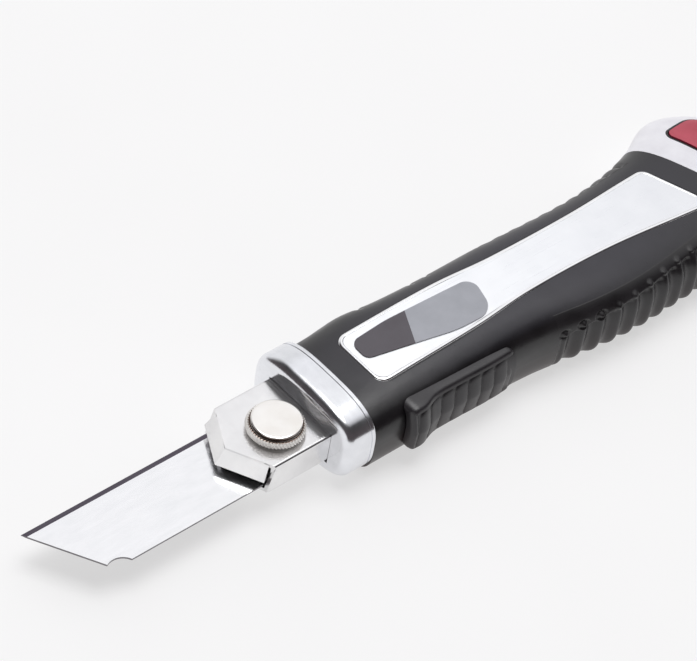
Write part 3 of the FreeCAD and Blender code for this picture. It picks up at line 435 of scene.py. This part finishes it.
def stations_between(low, high, step, fine=0.0, fine_step=0.1):
    """Stations from low to high, closer together within a fine distance of both ends."""
    marks = {low, high}
    value = low
    while value < high:
        marks.add(round(value, 4))
        near_end = min(value - low, high - value - 1e-9) < fine
        value += fine_step if near_end else step
    return sorted(marks)


def window(s, rise, fall):
    """Smooth factor that is 1 between a rising and a falling range of stations."""
    return ease(*rise, s) * (1 - ease(*fall, s))


# ------------------------------------------------------------------ rubber ribs under the fingers

RIB_PITCH = 4.95
RIB_FIRST = 62.8
RIB_DEPTH = 1.15
RIB_POWER = 1.25
RIB_COUNT = 11
RIB_RISE = (61.1, 62.4)
RIB_FALL = (115.2, 116.2)
RIB_FOOT_Z = 2.2
NUB_HEIGHTS = [(61, 13.3), (62.8, 13.6), (67.8, 14.4), (72.7, 15.0), (77.8, 15.5), (82.6, 16.0), (87.5, 16.4),
               (92.6, 16.8), (97.5, 17.0), (106, 17.2), (116, 17.2)]
NUB_RADIUS = 1.2
NUB_PROUD = 0.65
NUB_REACH = 3
RECESSED_NUBS = 3
RECESS_DEPTH = 0.55
RECESS_LONG = 2.0
RECESS_TALL = 1.35
RECESS_SHIFT = 0.1
RECESS_EDGE = (0.6, 1.0)
RECESSED_PROUD = 1.5
SKIN_STEP = 0.15
SKIN_LOW = 1.2
SKIN_BACK = 2.0
BELLY_ENDS = (61.0, 116.5)
BELLY_BACK_TOP = 17.0
# Heights of the skin's points: wide steps below, fine ones round the nubs.
BELLY_HEIGHTS = [SKIN_LOW + 0.42 * i for i in range(27)] + [12.54 + 5.36 * i / 48 for i in range(49)]


def back_point(s, z, side, top):
    """Point of a skin's hidden back; above the given height it goes straight up."""
    return side_point(s, min(z, top), side, SKIN_BACK) + Vector((0, 0, max(0, z - top)))


def with_nubs(push, base, nubs):
    """A point's push outwards, with the nubs and the oval recesses round the first few added to it."""
    for index, nub in enumerate(nubs):
        away = base - nub
        if away.length > NUB_REACH:
            continue
        recessed = index < RECESSED_NUBS
        if recessed:
            oval = math.hypot((base.x - nub.x + RECESS_SHIFT) / RECESS_LONG, away.yz.length / RECESS_TALL)
            push -= RECESS_DEPTH * (1 - ease(*RECESS_EDGE, oval))
        push += NUB_PROUD * (1 - ease(0.0, NUB_RADIUS, away.length)) * (RECESSED_PROUD if recessed else 1.0)
    return push


def belly_grip():
    """Rubber skin with upright ribs; every rib ends in a small round nub."""
    rib_stations = [RIB_FIRST + RIB_PITCH * k for k in range(RIB_COUNT)]
    nubs = [side_point(s, smooth_through(NUB_HEIGHTS, s), NEAR) for s in rib_stations]
    rings = []
    for s in stations_between(*BELLY_ENDS, SKIN_STEP):
        u = (s - RIB_FIRST) / RIB_PITCH
        lobe = (0.5 + 0.5 * math.cos(2 * math.pi * u)) ** RIB_POWER
        lead = window(s, RIB_RISE, RIB_FALL)
        top = smooth_through(NUB_HEIGHTS, s)
        ring = []
        for z in BELLY_HEIGHTS:
            base = side_point(s, z, NEAR)
            out = (base - side_point(s, z, NEAR, 1.0)).normalized()
            reach = lead * (1 - ease(top - 1.5, top - 0.2, z)) * ease(SKIN_LOW, RIB_FOOT_Z, z)
            ring.append(base + out * with_nubs(-RIB_DEPTH * (1 - lobe) * reach, base, nubs))
        back_heights = BELLY_HEIGHTS[::4] + BELLY_HEIGHTS[-1:]
        ring += [back_point(s, z, NEAR, BELLY_BACK_TOP) for z in reversed(back_heights)]
        rings.append(ring)
    piece_from_rings("belly_ribs", rings, "handle", "black_rubber", ["belly_grip"])


LUMP_PITCH = 4.66
LUMP_NOTCH = 65.9
LUMP_DEPTH = 0.70
LUMP_POWER = 0.65
LUMP_ENDS = (61.5, 110.0)
LUMP_RISE = (61.6, 62.6)
LUMP_FALL = (109.0, 109.8)
LUMP_FOOT_Z = 3.0
LUMP_TOP = 17.4
LUMP_BACK_TOP = 16.6
LUMP_PARTS = 54
LUMP_BACK_PARTS = 17


def finger_grip():
    """Rubber skin on the cutting edge's side, with convex lumps between narrow notches."""
    rings = []
    for s in stations_between(*LUMP_ENDS, SKIN_STEP):
        u = (s - LUMP_NOTCH) / LUMP_PITCH
        lump = abs(math.sin(math.pi * u)) ** LUMP_POWER
        lead = window(s, LUMP_RISE, LUMP_FALL)
        ring = []
        for i in range(LUMP_PARTS + 1):
            z = SKIN_LOW + (LUMP_TOP - SKIN_LOW) * i / LUMP_PARTS
            base = side_point(s, z, FAR)
            out = (base - side_point(s, z, FAR, 1.0)).normalized()
            reach = lead * (1 - ease(LUMP_TOP - 0.7, LUMP_TOP, z)) * ease(SKIN_LOW, LUMP_FOOT_Z, z)
            ring.append(base - out * LUMP_DEPTH * (1 - lump) * reach)
        for i in range(LUMP_BACK_PARTS + 1):
            z = LUMP_TOP - (LUMP_TOP - SKIN_LOW) * i / LUMP_BACK_PARTS
            ring.append(back_point(s, z, FAR, LUMP_BACK_TOP))
        rings.append(ring)
    piece_from_rings("finger_lumps", rings, "handle", "black_rubber", ["finger_grip"])


# ------------------------------------------------------------------ thumb slider

THUMB_FACE = [(16.6, 18.9), (20.4, 18.9), (24.6, 17.6), (31, 17.5), (40, 17.7), (49, 17.5)]
THUMB_FRONT = 16.6
THUMB_REAR = 48.2
THUMB_LOW = 5.3
THUMB_HIGH = 17.2
THUMB_WIDE = 10.5
THUMB_ROUND = 2.4
THUMB_FACE_ROUND = (1.7, 1.9)
# How the outer face leans back above and below its widest height: (distance, height, power).
LEAN_UP = (1.9, 6.7, 1.3)
LEAN_DOWN = (0.5, 5.9, 1.5)
TOP_ROUND = 0.7
BOTTOM_ROUND = 1.0
PAD_STEP = 0.16
PAD_FINE_STEP = 0.08
PAD_PARTS = 60
PAD_BACK_PARTS = 24
STRIP_LOW = 15.9
RIDGE_FOOT = (5.4, 7.4)
RIDGE_SUNK = 0.25
RIDGE_PITCH = 3.85
RIDGE_FIRST = 20.4
RIDGE_COUNT = 7
RIDGE_HALF = 0.47
RIDGE_HIGH = 0.45
RIDGE_SLANT = 0.09
RIDGE_TOP = 14.3
RIDGE_FADE = 1.5
RIDGE_RISE = (17.2, 18.6)
RIDGE_FALL = (47.4, 48.4)
STEM_SHORT = 1.3
PAD_ROOM = 0.2
PAD_THINNEST = 0.12
# Places of the slider's travel at which its pad has to clear the handle.
PAD_TRAVEL = (-7.0, 0.0, 4.0, 8.3)


def quarter(distance, radius):
    """How far a rounded end falls back at a distance from the end."""
    if distance >= radius:
        return 0.0
    return radius - math.sqrt(max(radius**2 - (radius - distance) ** 2, 0))


def box_points(low, high, trim):
    """Corners of a box as two rings of four, its low corner moved in by a trim."""
    low = low + trim
    ring = [(low.y, low.z), (high.y, low.z), (high.y, high.z), (low.y, high.z)]
    return [(x, y, z) for x in (low.x, high.x) for y, z in ring]


def thumb_ridge(s, z):
    """Height of the ridges on the outer face, between 0 and 1."""
    best = 0.0
    for k in range(RIDGE_COUNT):
        centre = RIDGE_FIRST + RIDGE_PITCH * k + RIDGE_SLANT * (z - THUMB_WIDE)
        across = (s - centre) / (RIDGE_PITCH * RIDGE_HALF)
        above = max(0, z - RIDGE_TOP) / RIDGE_FADE
        best = max(best, 1 - across**2 - above**2)
    return math.sqrt(best) if best > 0 else 0.0


def pad_back(s, z):
    """The y coordinate of the pad's inner face: it clears the handle over the whole travel."""
    return min(side_point(s + shift, z, NEAR, -PAD_ROOM).y for shift in PAD_TRAVEL)


def lean_back(away, distance, height, power):
    """How far the outer face falls back, away from its widest height."""
    return distance * max(0, away / height) ** power


def pad_front(s, z, low, high):
    """The y coordinate of the pad's outer face, between the low and high edge of its section."""
    front_drop = quarter(s - THUMB_FRONT, THUMB_FACE_ROUND[0])
    rear_drop = quarter(THUMB_REAR - s, THUMB_FACE_ROUND[1])
    face = smooth_through(THUMB_FACE, s) - front_drop - rear_drop
    lean = lean_back(z - THUMB_WIDE, *LEAN_UP) + lean_back(THUMB_WIDE - z, *LEAN_DOWN)
    edge = quarter(high - z, TOP_ROUND) + quarter(z - low, BOTTOM_ROUND)
    below_strip = 1 - ease(STRIP_LOW - 0.15, STRIP_LOW + 0.1, z)
    ribbed = window(s, RIDGE_RISE, RIDGE_FALL)
    sunk = (RIDGE_SUNK + RIDGE_HIGH * (1 - thumb_ridge(s, z)) * ease(*RIDGE_FOOT, z)) * below_strip * ribbed
    return min(-(face - lean - edge - sunk), pad_back(s, z) - PAD_THINNEST)


def thumb_grip():
    """Rubber pad with a smooth top strip and slanted ridges below it."""
    rings = []
    for s in stations_between(THUMB_FRONT, THUMB_REAR, PAD_STEP, THUMB_ROUND, PAD_FINE_STEP):
        front_drop, rear_drop = quarter(s - THUMB_FRONT, THUMB_ROUND), quarter(THUMB_REAR - s, THUMB_ROUND)
        high = THUMB_HIGH - front_drop * 0.6 - rear_drop
        low = THUMB_LOW + front_drop * 0.6 + rear_drop
        tall = high - low - 0.02
        outer = [high - 0.01 - tall * i / PAD_PARTS for i in range(PAD_PARTS + 1)]
        inner = [low + 0.01 + tall * i / PAD_BACK_PARTS for i in range(PAD_BACK_PARTS + 1)]
        rings.append([Vector((station(s), pad_front(s, z, low, high), z)) for z in outer]
                     + [Vector((station(s), pad_back(s, z), z)) for z in inner])
    piece_from_rings("thumb_pad", rings, "blade_slider", "slider_rubber", ["thumb_grip"])
    stem = box_points(stem_low / MM, stem_high / MM, Vector((0, STEM_SHORT, 0)))
    piece_from("slider_stem", stem, rings_to_faces(2, 4), "blade_slider", "inner_plastic", ["slider_core"])


# ------------------------------------------------------------------ knurled knob

KNOB_TEETH = 54
TOOTH_POINTS = 6
RING_BELOW_TOP = 1.15
KNURL_DEPTH = 0.17
KNURL_LEAN = 6.0
KNURL_STEP = 0.12


def knob_levels(low, high):
    """Half section of the knob as (radius, height, share of the knurl), with extra steps on the knurl."""
    ring_top = high - RING_BELOW_TOP
    ring = [(0.0, low, 0), (5.95, low, 0), (6.2, low + 0.1, 0.3), (6.38, low + 0.28, 1), (6.46, low + 0.5, 1),
            (6.48, low + 0.75, 1), (6.40, ring_top - 0.5, 1), (6.22, ring_top - 0.24, 1),
            (6.00, ring_top - 0.08, 1), (5.80, ring_top - 0.01, 0.5), (5.66, ring_top, 0)]
    groove = [(5.50, ring_top - 0.1, 0), (5.40, ring_top - 0.2, 0), (5.36, ring_top, 0)]
    disc = [(5.40, high - 0.95, 0), (5.50, high - 0.75, 0), (5.56, high - 0.5, 0), (5.57, high - 0.26, 0),
            (5.52, high - 0.12, 0), (5.38, high - 0.03, 0), (5.1, high, 0), (3.0, high, 0), (0.0, high, 0)]
    profile = ring + groove + disc
    levels = [profile[0]]
    for start, end in zip(profile, profile[1:]):
        parts = max(1, math.ceil((end[1] - start[1]) / KNURL_STEP)) if start[2] + end[2] > 0 else 1
        for part in range(1, parts + 1):
            levels.append(tuple(a + (b - a) * part / parts for a, b in zip(start, end)))
    return levels


def clamp_knob():
    """Turned knob: smooth disc, dark groove below it, and a knurled ring."""
    centre = (knob_low + knob_high) / 2 / MM
    low, high = knob_low.z / MM, knob_high.z / MM
    turns = [2 * math.pi * j / (KNOB_TEETH * TOOTH_POINTS) for j in range(KNOB_TEETH * TOOTH_POINTS)]
    rings = []
    for radius, z, knurl in knob_levels(low, high):
        ring = []
        for turn in turns:
            tooth = KNURL_DEPTH * math.cos(KNOB_TEETH * turn + KNURL_LEAN * (z - low))
            r = radius + knurl * tooth
            ring.append((centre.x + r * math.cos(turn), centre.y + r * math.sin(turn), z))
        rings.append(ring)
    piece_from_rings("knurled_knob", rings, "knob", "nickel", ["clamp_knob"], sharp=50)


# ------------------------------------------------------------------ rounded rim of the inlay

PLATE_FRONT = 15.2
PLATE_REAR = 113.2
PLATE_REAR_SLOPE = 0.40
PLATE_CORNER = 3.0
LOOP_STEP = 1.0
LOOP_END_PARTS = 14
LOOP_CORNER_PARTS = 12
LOOP_NEARBY = 12
# Within this many corner radii of a corner, the path's points give way to the corner's arc.
CORNER_CLEAR = 1.35


def corner_arc(path, i):
    """Rounded corner in place of the sharp one at an index of a closed path."""
    p, total = path[i], len(path)
    nearby = range(1, LOOP_NEARBY)
    before = next(q for q in (path[(i - k) % total] for k in nearby) if (q - p).length > PLATE_CORNER)
    after = next(q for q in (path[(i + k) % total] for k in nearby) if (q - p).length > PLATE_CORNER)
    a, b = (before - p).normalized(), (after - p).normalized()
    half = a.angle(b) / 2
    centre = p + (a + b).normalized() * (PLATE_CORNER / math.sin(half))
    start = p + a * (PLATE_CORNER / math.tan(half))
    first = math.atan2(start.y - centre.y, start.x - centre.x)
    angles = [first + (math.pi - 2 * half) * k / LOOP_CORNER_PARTS for k in range(LOOP_CORNER_PARTS + 1)]
    return [centre + PLATE_CORNER * Vector((math.cos(angle), math.sin(angle))) for angle in angles]


def plate_loop():
    """Closed plan path around the inlay: (station and y, inward direction) pairs."""
    side = {}
    for sign in (NEAR, FAR):
        rear = PLATE_REAR - PLATE_REAR_SLOPE * sign * smooth_through(PLATE_SIDE, PLATE_REAR)
        count = int((rear - PLATE_FRONT) / LOOP_STEP)
        side[sign] = [Vector((PLATE_FRONT + (rear - PLATE_FRONT) * i / count, 0)) for i in range(count + 1)]
        for p in side[sign]:
            p.y = sign * smooth_through(PLATE_SIDE, p.x)
    near, far = side[NEAR], side[FAR]
    across = [i / LOOP_END_PARTS for i in range(1, LOOP_END_PARTS)]
    path = near + [near[-1].lerp(far[-1], share) for share in across]
    path += far[::-1] + [far[0].lerp(near[0], share) for share in across]
    corners = [near[-1], far[-1], far[0], near[0]]
    loop = []
    for i, p in enumerate(path):
        distance = min((p - corner).length for corner in corners)
        if distance > PLATE_CORNER * CORNER_CLEAR:
            loop.append(p)
        elif distance < 1e-6:
            loop += corner_arc(path, i)
    result = []
    for i, p in enumerate(loop):
        along = (loop[(i + 1) % len(loop)] - loop[i - 1]).normalized()
        result.append((p, Vector((-along.y, along.x))))
    return result


def ring_piece(name, profile, body, slot_name, replaced=()):
    """Bar swept round the inlay; the profile lists (inward distance, height above the crown)."""
    points = []
    loop = plate_loop()
    for p, inward in loop:
        for d, h in profile:
            q = p + inward * d
            points.append((station(q.x), q.y, crown(q.x) + h))
    faces = rings_to_faces(len(loop), len(profile), closed=True)
    piece_from(name, points, faces, body, slot_name, replaced)


RIM_WIDE = 0.62
RIM_SINK = -0.40
RIM_TOP = 0.11
RIM_BACK = [(0.88, 0.02), (0.88, -1.0)]
# Profile of a black strip that stands in for the painted shade in the gap round the plate.
SHADE_STRIP = [(-0.28, -0.9), (-0.28, -0.42), (0.06, -0.42), (0.06, -0.9)]


def inlay_edge():
    """Rounded bright rim, and a black strip at the bottom of the step round it, put there as painted shade in
    the gap.
    """
    angles = [math.radians(10 * k) for k in range(10)]
    rounded = [(RIM_WIDE * (1 - math.cos(a)), RIM_SINK + (RIM_TOP - RIM_SINK) * math.sin(a)) for a in angles]
    ring_piece("plate_rim", [(0.0, -1.0)] + rounded + RIM_BACK, "handle", "polished_rim", ["inlay_rim"])
    ring_piece("inlay_shade_strip", SHADE_STRIP, "handle", "bezel_black")


# ------------------------------------------------------------------ front of the carrier

def soften(node, width, angle):
    """Rounds the sharp edges of a frame node with a narrow bevel."""
    bevel = frame["nodes"][node].modifiers.new("soft edges", "BEVEL")
    bevel.width = width * MM
    bevel.segments = 3
    bevel.limit_method = "ANGLE"
    bevel.angle_limit = math.radians(angle)


# The carrier's V edge runs from the shoulders to the apex, both as distances ahead of the collar.
CARRIER_SHOULDER = 15.3
CARRIER_APEX = 20.7
CARRIER_HALF = 10.18
CARRIER_TOP_Z = 14.05
LIP_GAP = 1.5
LIP_RUN = 2.1
LIP_DROP = 3.85
LIP_START = 0.3
LIP_TOP_RUN = 0.06
LIP_FOOT_ROUND = 0.12
LIP_CURVE = 1.1
LIP_PARTS = 10
# Rounded foot and back of a lip, as (run, drop) pairs.
LIP_FOOT = [(LIP_RUN - 0.04, LIP_DROP - 0.03), (LIP_RUN - 0.16, LIP_DROP), (0.85, LIP_DROP), (0.02, 0.5)]


def carrier_lips():
    """Folded lips over the V edge of the carrier; they lean forward towards their feet."""
    shares = [i / LIP_PARTS for i in range(LIP_PARTS + 1)]
    face = [(LIP_TOP_RUN + (LIP_RUN - LIP_TOP_RUN) * share**LIP_CURVE,
             LIP_START + (LIP_DROP - LIP_START - LIP_FOOT_ROUND) * share) for share in shares]
    section = face + LIP_FOOT
    edge = math.hypot(CARRIER_APEX - CARRIER_SHOULDER, CARRIER_HALF)
    lean, spread = CARRIER_HALF / edge, (CARRIER_APEX - CARRIER_SHOULDER) / edge
    end_x, end_y = station(-CARRIER_SHOULDER) - spread * LIP_GAP, CARRIER_HALF - lean * LIP_GAP
    # Top point of the section, and the way it leans, at the near end, the apex and the far end.
    places = [(end_x, NEAR * end_y, lean, NEAR * spread), (station(-CARRIER_APEX), 0, 1 / lean, 0),
              (end_x, FAR * end_y, lean, FAR * spread)]
    rings = [[(x - ahead * run, y + aside * run, CARRIER_TOP_Z - drop) for run, drop in section]
             for x, y, ahead, aside in places]
    piece_from_rings("carrier_lips", rings, "handle", "carrier_steel", sharp=30)


soften("blade_carrier", 0.32, 30)
carrier_lips()
belly_grip()
finger_grip()
thumb_grip()
clamp_knob()
inlay_edge()

# ------------------------------------------------------------------ floor, light and camera

FLOOR_REACH = 3.0
FLOOR_GLOW = 0.60
WHITE = (1.05, 1.05, 1.06, 1)


def floor():
    """Pale floor that glows a little, so that shadows on it stay faint."""
    mesh = bpy.data.meshes.new("floor")
    corners = [(x * FLOOR_REACH, y * FLOOR_REACH, 0) for x, y in ((-1, -1), (1, -1), (1, 1), (-1, 1))]
    mesh.from_pydata(corners, [], [(0, 1, 2, 3)])
    ground = bpy.data.objects.new("floor", mesh)
    bpy.context.scene.collection.objects.link(ground)
    shader = Shader("floor", (0.33, 0.33, 0.335), roughness=0.75)
    cloud = shader.noise(0.01, detail=2.0)
    shader.colour(shader.two_tone(cloud, (0.32, 0.32, 0.322), (0.34, 0.34, 0.342)))
    shader.bsdf.inputs["Emission Color"].default_value = (1.0, 0.995, 0.995, 1)
    shader.bsdf.inputs["Emission Strength"].default_value = FLOOR_GLOW
    ground.data.materials.append(shader.material)


def softbox(name, place, aim, width, height, watts):
    """Rectangular area light at a place, turned towards an aim, all in metres."""
    light = bpy.data.lights.new(name, "AREA")
    light.shape = "RECTANGLE"
    light.size = width
    light.size_y = height
    light.energy = watts
    lamp = bpy.data.objects.new(name, light)
    lamp.location = place
    lamp.rotation_euler = (Vector(aim) - Vector(place)).to_track_quat("-Z", "Y").to_euler()
    bpy.context.scene.collection.objects.link(lamp)


# The sky's height is taken along SKY_TILT, and SKY_NEAR lowers it where Y is below zero.
SKY_TILT = (0.5, 0.0, 1.0)
SKY_NEAR = 0.60
# Colour at height 0, then (height, grey level) steps up to WHITE at height 1.
SKY_LOW = (0.080, 0.068, 0.072, 1)
SKY_STEPS = [(0.64, 0.05), (0.74, 0.35), (0.85, 0.96), (0.95, 1.02)]
SKY_STRENGTH = 0.95
# Soft bright patches of the dark band, as (direction, where it starts, where it is full, share).
GLOWS = [((-0.93, -0.30, 0.10), 0.84, 0.94, 1.0), ((0.30, 0.93, 0.15), 0.70, 0.92, 0.9)]


def world():
    """Bright sky above a dark band; the band reaches higher towards the tip and the slider's side."""
    sky = bpy.data.worlds.new("studio")
    sky.use_nodes = True
    nodes, links = sky.node_tree.nodes, sky.node_tree.links
    direction = nodes.new("ShaderNodeTexCoord").outputs["Generated"]

    def along(vector):
        """How far the direction goes along a vector."""
        node = nodes.new("ShaderNodeVectorMath")
        node.operation = "DOT_PRODUCT"
        node.inputs[1].default_value = vector
        links.new(direction, node.inputs[0])
        return node.outputs["Value"]

    def maths(operation, value, constant):
        """Math node of a socket and a constant."""
        node = nodes.new("ShaderNodeMath")
        node.operation = operation
        node.inputs[1].default_value = constant
        links.new(value, node.inputs[0])
        return node

    near = maths("MINIMUM", along((0, 1, 0)), 0.0)
    height = maths("MULTIPLY_ADD", near.outputs["Value"], SKY_NEAR)
    links.new(along(SKY_TILT), height.inputs[2])
    ramp = nodes.new("ShaderNodeValToRGB")
    stops = ramp.color_ramp.elements
    stops[0].position, stops[0].color = 0.0, SKY_LOW
    stops[1].position, stops[1].color = 1.0, WHITE
    for place, level in SKY_STEPS:
        stop = stops.new(place)
        stop.color = (level, level, level * 1.03, 1)
    links.new(height.outputs["Value"], ramp.inputs["Fac"])
    light = ramp.outputs["Color"]
    for centre, start, end, level in GLOWS:
        share = nodes.new("ShaderNodeMapRange")
        share.inputs["From Min"].default_value = start
        share.inputs["From Max"].default_value = end
        share.inputs["To Max"].default_value = level
        blend = nodes.new("ShaderNodeMix")
        blend.data_type = "RGBA"
        blend.inputs["B"].default_value = WHITE
        links.new(along(centre), share.inputs["Value"])
        links.new(share.outputs["Result"], blend.inputs["Factor"])
        links.new(light, blend.inputs["A"])
        light = blend.outputs["Result"]
    links.new(light, nodes["Background"].inputs["Color"])
    nodes["Background"].inputs["Strength"].default_value = SKY_STRENGTH
    bpy.context.scene.world = sky


# Angles in degrees, distances and the lens in millimetres.
CAMERA_AZIMUTH = -48.608
CAMERA_ELEVATION = 45.833
CAMERA_ROLL = 10.589
CAMERA_DISTANCE = 725.88
CAMERA_LENS = 170.876
SENSOR_WIDTH = 36.0
AIM_STATION = 27.175
AIM_SIDE = 14.499


def camera():
    """Camera that looks at a point at the height of the blade's top face."""
    azimuth, elevation, roll = (math.radians(a) for a in (CAMERA_AZIMUTH, CAMERA_ELEVATION, CAMERA_ROLL))
    back = Vector((math.sin(azimuth) * math.cos(elevation), -math.cos(azimuth) * math.cos(elevation),
                   math.sin(elevation)))
    right = Vector((math.cos(azimuth), math.sin(azimuth), 0))
    up = back.cross(right)
    rolled_right = math.cos(roll) * right + math.sin(roll) * up
    rolled_up = math.cos(roll) * up - math.sin(roll) * right
    aim = Vector((station(AIM_STATION), AIM_SIDE, BLADE_TOP_Z)) * MM
    lens = bpy.data.cameras.new("camera")
    lens.sensor_width = SENSOR_WIDTH
    lens.lens = CAMERA_LENS
    lens.clip_end = 20.0
    view = bpy.data.objects.new("camera", lens)
    turn = Matrix((rolled_right, rolled_up, back)).transposed().to_4x4()
    view.matrix_world = Matrix.Translation(aim + back * CAMERA_DISTANCE * MM) @ turn
    bpy.context.scene.collection.objects.link(view)
    bpy.context.scene.camera = view


floor()
world()
softbox("overhead", place=(0.1, 0.1, 1.5), aim=(0, 0, 0), width=0.9, height=0.9, watts=12.0)
camera()
bpy.context.scene.view_settings.view_transform = "Standard"
